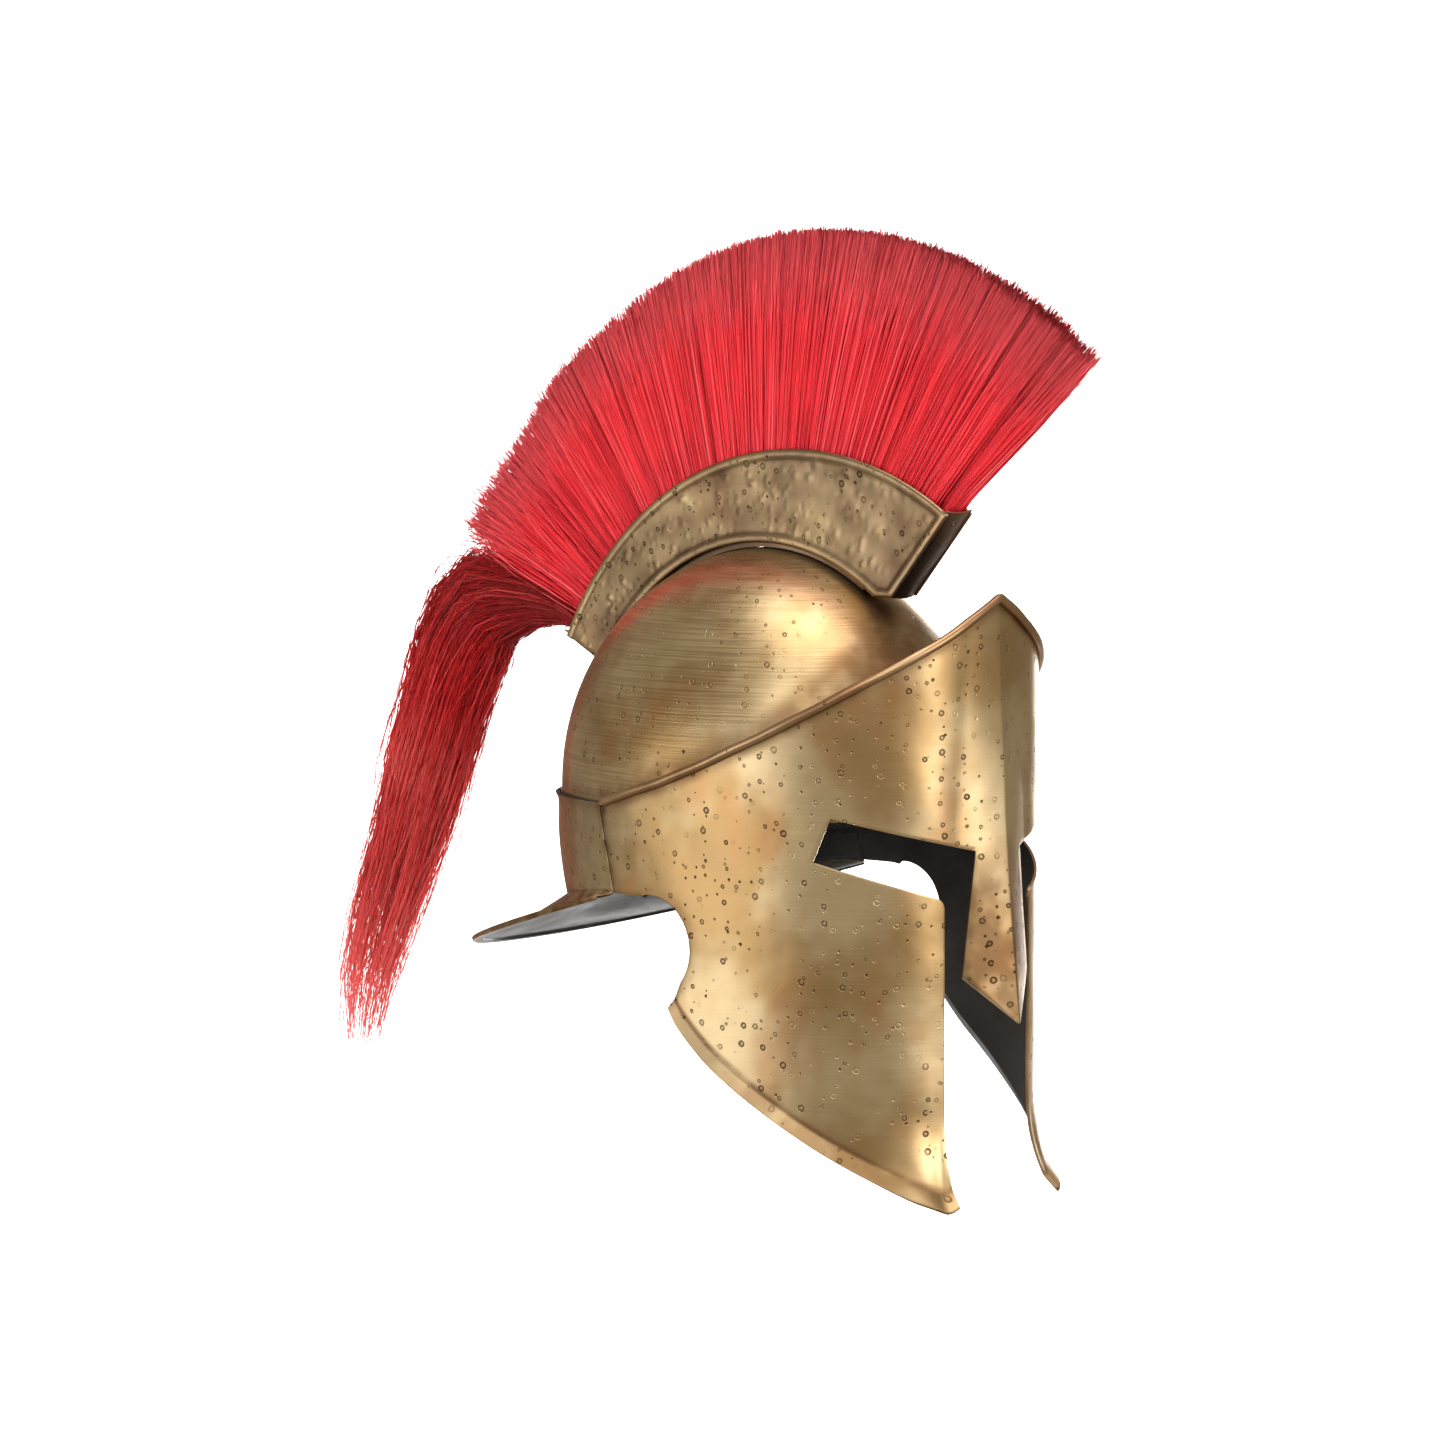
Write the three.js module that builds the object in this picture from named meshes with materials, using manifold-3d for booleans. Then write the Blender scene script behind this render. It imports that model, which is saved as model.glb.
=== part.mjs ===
// Greek helmet of brassed steel sheet with an upright hair crest and a falling hair tail.
// Millimetres. +Z is up, the face looks along -Y and the wearer's left is +X.
// Shapes are worked out about the centre of the cap's rim. The whole helmet is then lowered, so that
// the origin is the seat: the point inside the top of the cap that rests on the wearer's head.

import * as THREE from 'three';
import { mergeVertices } from 'three/addons/utils/BufferGeometryUtils.js';
import Module from 'manifold-3d';

const wasm = await Module();
wasm.setup();

// Sheet metal
const WALL = 1.5;
const GAP = 0.3;

// Ring: plan outline shared by the face plate and the nape band at the height of the cap's rim
const RING_HALF_WIDTH = 99.3;
const RING_FRONT = 149.2;
const RING_REAR = 124.2;
const FRONT_POWER = 2.3;
const REAR_POWER = 2;

// Skull cap: half an ellipsoid with a short skirt inside the ring
const CAP_HALF_WIDTH = RING_HALF_WIDTH - WALL - GAP;
const CAP_HALF_LENGTH = RING_REAR - WALL - GAP;
const CAP_HEIGHT = 125;
const CAP_SKIRT = 12;
const SEAT_HEIGHT = CAP_HEIGHT - WALL;

// Face plate. Girth is measured round the ring from the ridge in front, and height from the cap's rim.
const RIDGE = [
  { height: -108, forward: 16.6, reach: 34 },
  { height: -21, forward: 8, reach: 27 },
  { height: 105, forward: 1, reach: 20 },
];
const RIDGE_POWER = 1.15;
const BROW_LINE = [
  { girth: 0, height: 105.6 },
  { girth: 35, height: 85.8 },
  { girth: 88, height: 58.0 },
  { girth: 136, height: 33.6 },
  { girth: 185, height: 12.8 },
  { girth: 240, height: -4.8 },
];
const EYE_SLOT = {
  innerTop: [17.2, -20.1],
  outerTop: [92, -2.6],
  outerBottom: [101, -24.4],
  innerBottom: [33.5, -44.4],
};
const NASAL_CORNER = [25.2, -83.4];
const NASAL_TIP = [0, -107.5];
const NASAL_TIP_BLUNT = 0.8;
const CHEEK_FRONT = 33.5;
const CHEEK_CORNER = { across: 5, down: 2.5 };
const CHEEK_EDGE = [
  { girth: 33, height: -199.4 },
  { girth: 55, height: -191 },
  { girth: 102, height: -166 },
  { girth: 154, height: -132.5 },
  { girth: 176, height: -112.5 },
  { girth: 183.5, height: -101.5 },
];
const CHEEK_REAR = [185.7, -109];
const THROAT = { girth: 197, height: -73, radius: 26 };
const THROAT_LEAVE = [180, -93];
const LOWER_EDGE = -48.3;
const SEAM_TOP = [237.5, 0];
const SEAM_BOTTOM = [224, -49];
const SEAM_GAP = 0.5;

// Cuts run past the edges that they leave, by these places in girth and height
const CUT_REACH = 8;
const CUT_BELOW = -215;
const CUT_BEHIND = 260;
const CUT_OVERLAP = 3;

// Flared lip along the cheek's lower edge, and the forward curl of its tip
const LIP = { out: 2.6, width: 8 };
const TIP_CURL = { out: 13, width: 44, spread: 26 };

// Brow bead, rolled outward from the brow line
const BEAD_RADIUS = 2.4;
const BEAD_SIDES = 8;
const BEAD_OUT = BEAD_RADIUS - WALL;
const BEAD_END_SHORT = 2.5;

// Nape band, closing the ring behind
const BAND_TOP = -3;
const BAND_TOP_DROP = 2.5;
const BAND_REAR_BOTTOM = -61;
const BAND_TUCK = 5;
const BAND_TUCK_START = -22;
const BAND_LIP = { out: 1.8, width: 5 };
const BAND_TUCK_REACH = 60;

// Neck guard, flaring from the band's lower edge to a rim that lies in a sloping plane
const GUARD_CENTRE = 24;
const GUARD_HALF_WIDTH = 103;
const GUARD_REAR = 190;
const GUARD_POWER = 2.2;
const GUARD_RIM_HEIGHT = -47.5;
const GUARD_SLOPE = 0.285;
const GUARD_SAG = 3.5;
const GUARD_HEM_START = 0.86;
const GUARD_GAP = 0.35;
const GUARD_TURN = 88.6;

// Crest holder: a curved channel over the cap in the middle plane. Angles go from the front, over the
// top, to the back, about the centre of the cap's rim.
const HOLDER_FRONT = 49.4;
const HOLDER_REAR = 153;
const HOLDER_HALF_WIDTH = 10;
const HOLDER_BOTTOM = 127.6;
const HOLDER_FRONT_FLOOR = 103;
const HOLDER_TOP = { ahead: 23.6, height: -8, radius: 184.6 };
const HOLDER_FRONT_PLATE = { bottom: 134.5, top: 193.5 };
const HOLDER_REAR_PLATE = { bottom: 128, top: 162.5 };
const FLOOR_RAISE = 1;
const FLOOR_FRONT = 54.4;
const FLOOR_REAR = 152.5;
const PANEL_STEP = 0.8;
const PANEL_BORDER = 5;
const SADDLE_HALF_WIDTH = 6.5;
const SADDLE_FRONT = 58;
const SADDLE_REAR = 148;

// Crest brush: upright hair in three lengths, clipped to a table of radii by angle in degrees
const BRUSH_CUT = [
  { angle: 46, radius: 308 },
  { angle: 60, radius: 303 },
  { angle: 83, radius: 290.5 },
  { angle: 100, radius: 277.5 },
  { angle: 114, radius: 266 },
  { angle: 125, radius: 262 },
  { angle: 135, radius: 254 },
  { angle: 143, radius: 255 },
  { angle: 150, radius: 258 },
];
const BRUSH_PARTS = [
  { name: 'crest_brush_front', from: 50.6, to: 81, fromTip: 47.4, toTip: 80 },
  { name: 'crest_brush_middle', from: 81.3, to: 113.7, fromTip: 80.3, toTip: 112.7 },
  { name: 'crest_brush_rear', from: 114, to: 146.2, fromTip: 113, toTip: 149.5 },
];
const BRUSH_ROOT_GAP = 0.6;
const BRUSH_ROOT_HALF_WIDTH = HOLDER_HALF_WIDTH - PANEL_STEP - WALL - GAP;
const BRUSH_TIP_HALF_WIDTH = 11;
const BRUSH_LOCKS = 8;
const LOCK_DEPTH = 0.9;
const LOCK_RAGGED = 1.6;

// Crest tail: loose hair leaving the holder's rear end and falling behind the neck
const TAIL = [
  { behind: 116.5, height: 67.2, halfDepth: 4, halfWidth: 7 },
  { behind: 138.6, height: 80, halfDepth: 5.4, halfWidth: 7.5 },
  { behind: 158, height: 88, halfDepth: 11, halfWidth: 9 },
  { behind: 183, height: 90, halfDepth: 20, halfWidth: 12 },
  { behind: 211, height: 87, halfDepth: 32, halfWidth: 16 },
  { behind: 235, height: 55, halfDepth: 33, halfWidth: 18 },
  { behind: 252, height: 16, halfDepth: 31, halfWidth: 19 },
  { behind: 266, height: -18, halfDepth: 30, halfWidth: 19 },
  { behind: 278, height: -50, halfDepth: 28, halfWidth: 18 },
  { behind: 291, height: -79, halfDepth: 27, halfWidth: 17 },
  { behind: 301, height: -105, halfDepth: 24, halfWidth: 15 },
  { behind: 310, height: -128, halfDepth: 16, halfWidth: 10 },
  { behind: 315, height: -148, halfDepth: 8, halfWidth: 5 },
  { behind: 316, height: -168, halfDepth: 2, halfWidth: 1.5 },
];
const TAIL_SIDES = 18;
const TAIL_LOCKS = 6;
const TAIL_LOCK_DEPTH = 0.07;

const brass = new THREE.MeshStandardMaterial({ color: 0xb0935c, roughness: 0.38, metalness: 1 });
const darkBrass = new THREE.MeshStandardMaterial({ color: 0x7d6a50, roughness: 0.5, metalness: 1 });
const brushHair = new THREE.MeshStandardMaterial({ color: 0xd8243a, roughness: 0.6, metalness: 0 });
const tailHair = new THREE.MeshStandardMaterial({ color: 0xb31a1e, roughness: 0.55, metalness: 0 });

const radians = THREE.MathUtils.degToRad;
const mix = THREE.MathUtils.lerp;
const clamp = THREE.MathUtils.clamp;
const ease = THREE.MathUtils.smoothstep;

// Smooth curve through a table's rows: cubic pieces with the slopes of the neighbouring rows
function along(table, key, column, value) {
  const last = table.length - 1;
  const at = clamp(value, table[0][key], table[last][key]);
  let row = 0;
  while (row < last - 1 && at > table[row + 1][key]) row += 1;
  const slope = (i) => {
    const before = table[Math.max(i - 1, 0)];
    const after = table[Math.min(i + 1, last)];
    return (after[column] - before[column]) / (after[key] - before[key]);
  };
  const width = table[row + 1][key] - table[row][key];
  const t = (at - table[row][key]) / width;
  const start = table[row][column] * (2 * t ** 3 - 3 * t ** 2 + 1);
  const end = table[row + 1][column] * (3 * t ** 2 - 2 * t ** 3);
  const leave = slope(row) * width * (t ** 3 - 2 * t ** 2 + t);
  const arrive = slope(row + 1) * width * (t ** 3 - t ** 2);
  return start + end + leave + arrive;
}

// Ring outline by girth: a superellipse in front and an ellipse behind
function traceRing(steps) {
  const rows = [];
  for (let i = 0; i <= steps; i += 1) {
    const turn = Math.PI * i / steps;
    const inFront = turn < Math.PI / 2;
    const power = inFront ? FRONT_POWER : REAR_POWER;
    const depth = inFront ? RING_FRONT : RING_REAR;
    const across = (Math.sin(turn) / RING_HALF_WIDTH) ** power;
    const ahead = (Math.abs(Math.cos(turn)) / depth) ** power;
    const radius = (across + ahead) ** (-1 / power);
    const side = radius * Math.sin(turn);
    const forward = radius * Math.cos(turn);
    const before = rows[i - 1];
    const girth = i === 0 ? 0 : before.girth + Math.hypot(side - before.side, forward - before.forward);
    rows.push({ girth, side, forward });
  }
  return rows;
}
const ring = traceRing(1440);
const HALF_GIRTH = ring[ring.length - 1].girth;

// Place on the ring and its outward direction, at a signed girth
function ringAt(girth) {
  const at = Math.min(Math.abs(girth), 2 * HALF_GIRTH - Math.abs(girth));
  const mirror = Math.sign(girth || 1) * (Math.abs(girth) > HALF_GIRTH ? -1 : 1);
  let low = 0;
  let high = ring.length - 1;
  while (high - low > 1) {
    const middle = (low + high) >> 1;
    if (ring[middle].girth > at) high = middle;
    else low = middle;
  }
  const a = ring[low];
  const b = ring[high];
  const t = (at - a.girth) / (b.girth - a.girth);
  return { side: mirror * mix(a.side, b.side, t), forward: mix(a.forward, b.forward, t) };
}

// Surface of the face plate and the nape band, before anything is cut out
function cheekEdge(girth) {
  const at = clamp(Math.abs(girth), CHEEK_FRONT, CHEEK_REAR[0]);
  return along(CHEEK_EDGE, 'girth', 'height', at);
}
function ridgeForward(girth, height) {
  const reach = along(RIDGE, 'height', 'reach', height);
  const forward = along(RIDGE, 'height', 'forward', height);
  return forward * Math.max(0, 1 - Math.abs(girth) / reach) ** RIDGE_POWER;
}
function flareOut(girth, height) {
  const rise = Math.max(0, height - cheekEdge(girth));
  const lip = LIP.out * Math.max(0, 1 - rise / LIP.width) ** 2;
  const fromFront = (Math.abs(girth) - CHEEK_FRONT) / TIP_CURL.spread;
  const curl = TIP_CURL.out * Math.exp(-fromFront * fromFront);
  return lip + curl * Math.max(0, 1 - rise / TIP_CURL.width) ** 2;
}
function ringSurface(girth, height, out) {
  const here = ringAt(girth);
  const before = ringAt(girth - 0.5);
  const after = ringAt(girth + 0.5);
  const tangent = new THREE.Vector2(after.side - before.side, after.forward - before.forward).normalize();
  const forward = here.forward + ridgeForward(girth, height);
  return new THREE.Vector3(here.side - tangent.y * out, -(forward + tangent.x * out), height);
}
function plateSurface(girth, height) {
  return ringSurface(girth, height, flareOut(girth, height));
}
function bandLow(girth) {
  const behind = clamp((Math.abs(girth) - SEAM_BOTTOM[0]) / (HALF_GIRTH - SEAM_BOTTOM[0]), 0, 1);
  return mix(LOWER_EDGE, BAND_REAR_BOTTOM, ease(behind, 0, 0.75));
}
function bandTop(girth) {
  const behind = clamp((Math.abs(girth) - SEAM_TOP[0]) / (HALF_GIRTH - SEAM_TOP[0]), 0, 1);
  return BAND_TOP - BAND_TOP_DROP * behind;
}
function bandOut(girth, height) {
  const behind = ease(Math.abs(girth), SEAM_BOTTOM[0], SEAM_BOTTOM[0] + BAND_TUCK_REACH);
  const drop = Math.max(0, BAND_TUCK_START - height) / (BAND_TUCK_START - BAND_REAR_BOTTOM);
  const lip = BAND_LIP.out * Math.max(0, 1 - (bandTop(girth) - height) / BAND_LIP.width) ** 2;
  return behind * (lip - BAND_TUCK * drop ** 1.6);
}
function bandSurface(girth, height) {
  return ringSurface(girth, height, bandOut(girth, height));
}

// Closed solid between two skins. place(a, b, skin) gives the points of the outer skin, 0, and the
// inner skin, 1, for a and b from 0 to 1.
function between(place, columns, rows) {
  const points = [];
  const faces = [];
  const at = (skin, i, j) => (skin * (columns + 1) + i) * (rows + 1) + j;
  for (const skin of [0, 1]) {
    for (let i = 0; i <= columns; i += 1) {
      for (let j = 0; j <= rows; j += 1) points.push(...place(i / columns, j / rows, skin).toArray());
    }
  }
  const quad = (a, b, c, d) => faces.push(a, b, c, a, c, d);
  for (let i = 0; i < columns; i += 1) {
    for (let j = 0; j < rows; j += 1) {
      quad(at(0, i, j), at(0, i + 1, j), at(0, i + 1, j + 1), at(0, i, j + 1));
      quad(at(1, i, j), at(1, i, j + 1), at(1, i + 1, j + 1), at(1, i + 1, j));
    }
    quad(at(1, i, 0), at(1, i + 1, 0), at(0, i + 1, 0), at(0, i, 0));
    quad(at(0, i, rows), at(0, i + 1, rows), at(1, i + 1, rows), at(1, i, rows));
  }
  for (let j = 0; j < rows; j += 1) {
    quad(at(0, 0, j), at(0, 0, j + 1), at(1, 0, j + 1), at(1, 0, j));
    quad(at(1, columns, j), at(1, columns, j + 1), at(0, columns, j + 1), at(0, columns, j));
  }
  const geometry = new THREE.BufferGeometry();
  geometry.setAttribute('position', new THREE.Float32BufferAttribute(points, 3));
  geometry.setIndex(faces);
  return geometry;
}

// Sheet on a surface of a and b, from outer to inner along the surface's normal
function sheet(surface, outer, inner, columns, rows) {
  const step = 1e-3;
  const place = (a, b, skin) => {
    const alongA = surface(a + step, b).sub(surface(a - step, b));
    const alongB = surface(a, b + step).sub(surface(a, b - step));
    const normal = alongA.cross(alongB).normalize();
    const depth = skin === 0 ? outer : inner(a, b);
    return surface(a, b).addScaledVector(normal, depth);
  };
  return between(place, columns, rows);
}

// Four-cornered cutter in girth and height, standing on both sides of the ring's sheet
function cutter(corners, surface, columns, rows) {
  const [lowStart, lowEnd, highEnd, highStart] = corners;
  const place = (a, b) => {
    const girth = mix(mix(lowStart[0], lowEnd[0], a), mix(highStart[0], highEnd[0], a), b);
    const height = mix(mix(lowStart[1], lowEnd[1], a), mix(highStart[1], highEnd[1], a), b);
    return surface(girth, height);
  };
  return solidOf(sheet(place, CUT_REACH, () => -CUT_REACH, columns, rows));
}

function solidOf(geometry) {
  const bare = geometry.clone();
  bare.deleteAttribute('normal');
  bare.deleteAttribute('uv');
  const merged = mergeVertices(bare, 1e-4);
  const vertProperties = Float32Array.from(merged.attributes.position.array);
  const triVerts = Uint32Array.from(merged.index.array);
  return new wasm.Manifold(new wasm.Mesh({ numProp: 3, vertProperties, triVerts }));
}
function geometryOf(solid) {
  const mesh = solid.getMesh();
  const geometry = new THREE.BufferGeometry();
  geometry.setAttribute('position', new THREE.BufferAttribute(mesh.vertProperties, 3));
  geometry.setIndex(new THREE.BufferAttribute(mesh.triVerts, 1));
  return geometry;
}
function piece(name, geometry, material) {
  geometry.computeVertexNormals();
  const mesh = new THREE.Mesh(geometry, material);
  mesh.name = name;
  return mesh;
}

// Skull cap, turned as a round dome and narrowed to the head's width
function skullCap() {
  const profile = [];
  const rings = 8;
  for (let i = 0; i <= rings; i += 1) {
    const rise = radians(90 * (1 - i / rings));
    profile.push(new THREE.Vector2(CAP_HALF_LENGTH * Math.cos(rise), CAP_HEIGHT * Math.sin(rise)));
  }
  profile.push(new THREE.Vector2(CAP_HALF_LENGTH, -CAP_SKIRT));
  profile.push(new THREE.Vector2(CAP_HALF_LENGTH - WALL, -CAP_SKIRT));
  for (let i = 0; i <= rings; i += 1) {
    const rise = radians(90 * i / rings);
    const across = (CAP_HALF_LENGTH - WALL) * Math.cos(rise);
    profile.push(new THREE.Vector2(across, (CAP_HEIGHT - WALL) * Math.sin(rise)));
  }
  profile[0].x = 0;
  profile[profile.length - 1].x = 0;
  const dome = new THREE.LatheGeometry(profile.reverse(), 54);
  dome.rotateX(Math.PI / 2);
  dome.scale(CAP_HALF_WIDTH / CAP_HALF_LENGTH, 1, 1);
  return piece('skull_cap', geometryOf(solidOf(dome)), brass);
}

// Brow line, and the plate's upper edge that lies clear below the bead
function browLine(girth) {
  return along(BROW_LINE, 'girth', 'height', Math.abs(girth));
}
function browEdge(girth) {
  const slope = browLine(Math.abs(girth) + 1) - browLine(Math.abs(girth));
  return browLine(girth) - (BEAD_RADIUS + GAP) * Math.hypot(1, slope);
}

// Face plate: one sheet bent round the ring, then the eye slots, mouth gap and throat are cut out
function facePlate() {
  const rowStops = [0, 0.02, 0.045, 0.1, 0.22, 0.5, 0.75, 1];
  const rows = rowStops.length - 1;
  const half = SEAM_TOP[0] + 2 * CUT_OVERLAP;
  const surface = (a, b) => {
    const girth = mix(-half, half, a);
    const row = Math.min(Math.floor(Math.max(b * rows, 0)), rows - 1);
    const share = mix(rowStops[row], rowStops[row + 1], b * rows - row);
    return plateSurface(girth, mix(cheekEdge(girth), browEdge(girth), share));
  };
  let plate = solidOf(sheet(surface, 0, () => -WALL, 60, rows));
  const cut = (corners, columns, cutRows) => {
    plate = plate.subtract(cutter(corners, plateSurface, columns, cutRows));
  };
  const { innerTop, outerTop, outerBottom, innerBottom } = EYE_SLOT;
  const beside = CHEEK_FRONT - CUT_OVERLAP;
  const tip = NASAL_TIP[1] + NASAL_TIP_BLUNT;
  cut([[-beside, CUT_BELOW], [beside, CUT_BELOW], [beside, tip], [-beside, tip]], 8, 5);
  for (const side of [-1, 1]) {
    const cutSide = (corners, columns, cutRows) => {
      const [a, b, c, d] = corners.map(([girth, height]) => [side * girth, height]);
      cut(side > 0 ? [a, b, c, d] : [b, a, d, c], columns, cutRows);
    };
    const slotFoot = innerBottom[1] + 2.5 * CUT_OVERLAP;
    const mouthSide = beside - CUT_OVERLAP;
    cutSide([innerBottom, outerBottom, outerTop, innerTop], 8, 1);
    const mouthLow = [[mouthSide, CUT_BELOW], [CHEEK_FRONT, CUT_BELOW]];
    cutSide([...mouthLow, [CHEEK_FRONT, slotFoot], [mouthSide, slotFoot]], 1, 8);
    cutSide([NASAL_CORNER, [beside, NASAL_CORNER[1]], [beside, slotFoot], innerTop], 2, 3);
    cutSide([NASAL_TIP, [beside, NASAL_TIP[1]], [beside, NASAL_CORNER[1] + CUT_OVERLAP], NASAL_CORNER], 3, 1);
    const cornerLow = innerBottom[1] - CHEEK_CORNER.across;
    const cornerHigh = [CHEEK_FRONT + CHEEK_CORNER.across, innerBottom[1] + CHEEK_CORNER.down];
    cutSide([[beside, cornerLow], [CHEEK_FRONT, cornerLow], cornerHigh, [beside, cornerHigh[1]]], 1, 1);
    plate = plate.subtract(throatCutter(side));
    const behindThroat = [[CHEEK_REAR[0], CUT_BELOW], [CUT_BEHIND, CUT_BELOW], [CUT_BEHIND, LOWER_EDGE]];
    cutSide([...behindThroat, [THROAT.girth, LOWER_EDGE]], 6, 1);
    const inThroat = THROAT.girth + THROAT.radius - CUT_OVERLAP;
    cutSide([CHEEK_REAR, [inThroat, CHEEK_REAR[1]], [inThroat, THROAT.height], THROAT_LEAVE], 4, 1);
    cutSide([SEAM_BOTTOM, [CUT_BEHIND, SEAM_BOTTOM[1]], [CUT_BEHIND, SEAM_TOP[1]], SEAM_TOP], 2, 1);
  }
  return piece('face_plate', geometryOf(plate), brass);
}

// Round throat notch between the cheek and the nape
function throatCutter(side) {
  const arc = (a, b) => {
    const turn = radians(mix(-90, 90, b));
    const reach = THROAT.radius * Math.cos(turn) * mix(1, -0.6, side > 0 ? a : 1 - a);
    const girth = THROAT.girth - reach;
    return plateSurface(side * girth, THROAT.height + THROAT.radius * Math.sin(turn) * 0.9999);
  };
  const inside = (a, b) => arc(a, mix(0.02, 0.98, b));
  return solidOf(sheet(inside, CUT_REACH, () => -CUT_REACH, 6, 10));
}

// Rolled bead standing on the brow edge of the face plate
function browBead() {
  const points = [];
  const half = SEAM_TOP[0] - BEAD_END_SHORT;
  const stations = 50;
  for (let i = 0; i <= stations; i += 1) {
    const girth = mix(-half, half, i / stations);
    points.push(ringSurface(girth, browLine(girth), BEAD_OUT));
  }
  return piece('brow_bead', roundRod(points, BEAD_RADIUS, BEAD_SIDES), brass);
}

// Rod of round section along a row of points, closed at both ends
function roundRod(points, radius, sides) {
  const positions = [];
  const faces = [];
  const last = points.length - 1;
  for (let i = 0; i <= last; i += 1) {
    const before = points[Math.max(i - 1, 0)];
    const after = points[Math.min(i + 1, last)];
    const ahead = after.clone().sub(before).normalize();
    const outward = new THREE.Vector3(ahead.y, -ahead.x, 0).normalize();
    const upward = outward.clone().cross(ahead).normalize();
    for (let j = 0; j < sides; j += 1) {
      const turn = 2 * Math.PI * j / sides;
      const point = points[i].clone();
      point.addScaledVector(outward, radius * Math.cos(turn));
      point.addScaledVector(upward, radius * Math.sin(turn));
      positions.push(...point.toArray());
    }
  }
  const at = (i, j) => i * sides + (j % sides);
  for (let i = 0; i < last; i += 1) {
    for (let j = 0; j < sides; j += 1) {
      faces.push(at(i, j), at(i + 1, j), at(i + 1, j + 1), at(i, j), at(i + 1, j + 1), at(i, j + 1));
    }
  }
  for (let j = 1; j < sides - 1; j += 1) {
    faces.push(at(0, 0), at(0, j), at(0, j + 1));
    faces.push(at(last, 0), at(last, j + 1), at(last, j));
  }
  const geometry = new THREE.BufferGeometry();
  geometry.setAttribute('position', new THREE.Float32BufferAttribute(positions, 3));
  geometry.setIndex(faces);
  return geometry;
}

// Nape band from seam to seam round the back
function napeBand() {
  const start = SEAM_BOTTOM[0] - 4;
  const surface = (a, b) => {
    const girth = mix(start, 2 * HALF_GIRTH - start, a);
    const around = Math.min(girth, 2 * HALF_GIRTH - girth);
    return bandSurface(girth, mix(bandLow(around), bandTop(around), b));
  };
  let band = solidOf(sheet(surface, 0, () => -WALL, 30, 6));
  for (const side of [-1, 1]) {
    const corners = [
      [SEAM_BOTTOM[0] - 4 * CUT_OVERLAP, SEAM_BOTTOM[1] - CUT_OVERLAP],
      [SEAM_BOTTOM[0] + SEAM_GAP, SEAM_BOTTOM[1]],
      [SEAM_TOP[0] + SEAM_GAP, SEAM_TOP[1]],
      [SEAM_TOP[0] - 8 * CUT_OVERLAP, SEAM_TOP[1] + CUT_OVERLAP],
    ].map(([girth, height]) => [side * girth, height]);
    const ordered = side > 0 ? corners : [corners[1], corners[0], corners[3], corners[2]];
    band = band.subtract(cutter(ordered, plainRing, 3, 2));
  }
  return piece('nape_band', geometryOf(band), brass);
}
function plainRing(girth, height) {
  return ringSurface(girth, height, 0);
}

// Neck guard with its rim folded under as a hem
function neckGuard() {
  const start = SEAM_BOTTOM[0] + 1.5;
  const surface = (a, b) => {
    const girth = mix(start, 2 * HALF_GIRTH - start, a);
    const around = Math.min(girth, 2 * HALF_GIRTH - girth);
    const top = bandSurface(girth, bandLow(around) - GUARD_GAP);
    const turn = mix(-GUARD_TURN, GUARD_TURN, a);
    const rim = guardRim(radians(turn));
    const point = top.clone().lerp(rim, b);
    point.z -= GUARD_SAG * Math.sin(Math.PI * b);
    return point;
  };
  const inner = (a, b) => (b > GUARD_HEM_START ? -2 * WALL : -WALL);
  return piece('neck_guard', sheet(surface, 0, inner, 26, 6), brass);
}
function guardRim(turn) {
  const across = Math.sign(Math.sin(turn)) * Math.abs(Math.sin(turn)) ** (2 / GUARD_POWER);
  const back = Math.cos(turn) ** (2 / GUARD_POWER);
  const side = -GUARD_HALF_WIDTH * across;
  const behind = GUARD_CENTRE + (GUARD_REAR - GUARD_CENTRE) * back;
  return new THREE.Vector3(side, behind, GUARD_RIM_HEIGHT - GUARD_SLOPE * (behind - GUARD_CENTRE));
}

// Crest holder
function arcRadius(circle, angle) {
  const toward = circle.ahead * Math.cos(angle) + circle.height * Math.sin(angle);
  const centre = circle.ahead ** 2 + circle.height ** 2;
  return toward + Math.sqrt(circle.radius ** 2 - centre + toward ** 2);
}
function crestPoint(side, angle, radius) {
  return new THREE.Vector3(side, -radius * Math.cos(angle), radius * Math.sin(angle));
}
// The lower edge follows the cap, and is cut level at the front
function holderBottom(angle) {
  return angle < Math.PI / 2 ? Math.max(HOLDER_BOTTOM, HOLDER_FRONT_FLOOR / Math.sin(angle)) : HOLDER_BOTTOM;
}
function capRadius(angle) {
  return 1 / Math.hypot(Math.cos(angle) / CAP_HALF_LENGTH, Math.sin(angle) / CAP_HEIGHT);
}
function holderSide(name, side) {
  const from = radians(HOLDER_FRONT);
  const to = radians(HOLDER_REAR);
  const place = (a, b, skin) => {
    const angle = side > 0 ? mix(from, to, a) : mix(to, from, a);
    const bottom = holderBottom(angle);
    const top = arcRadius(HOLDER_TOP, angle);
    const radius = mix(bottom, top, b);
    const edge = Math.min(radius - bottom, top - radius, radius * (angle - from));
    const panel = ease(edge, PANEL_BORDER - 1.5, PANEL_BORDER + 0.5);
    const out = HOLDER_HALF_WIDTH - PANEL_STEP * panel - (skin === 0 ? 0 : WALL);
    return crestPoint(side * out, angle, radius);
  };
  return piece(name, between(place, 26, 6), brass);
}
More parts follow.
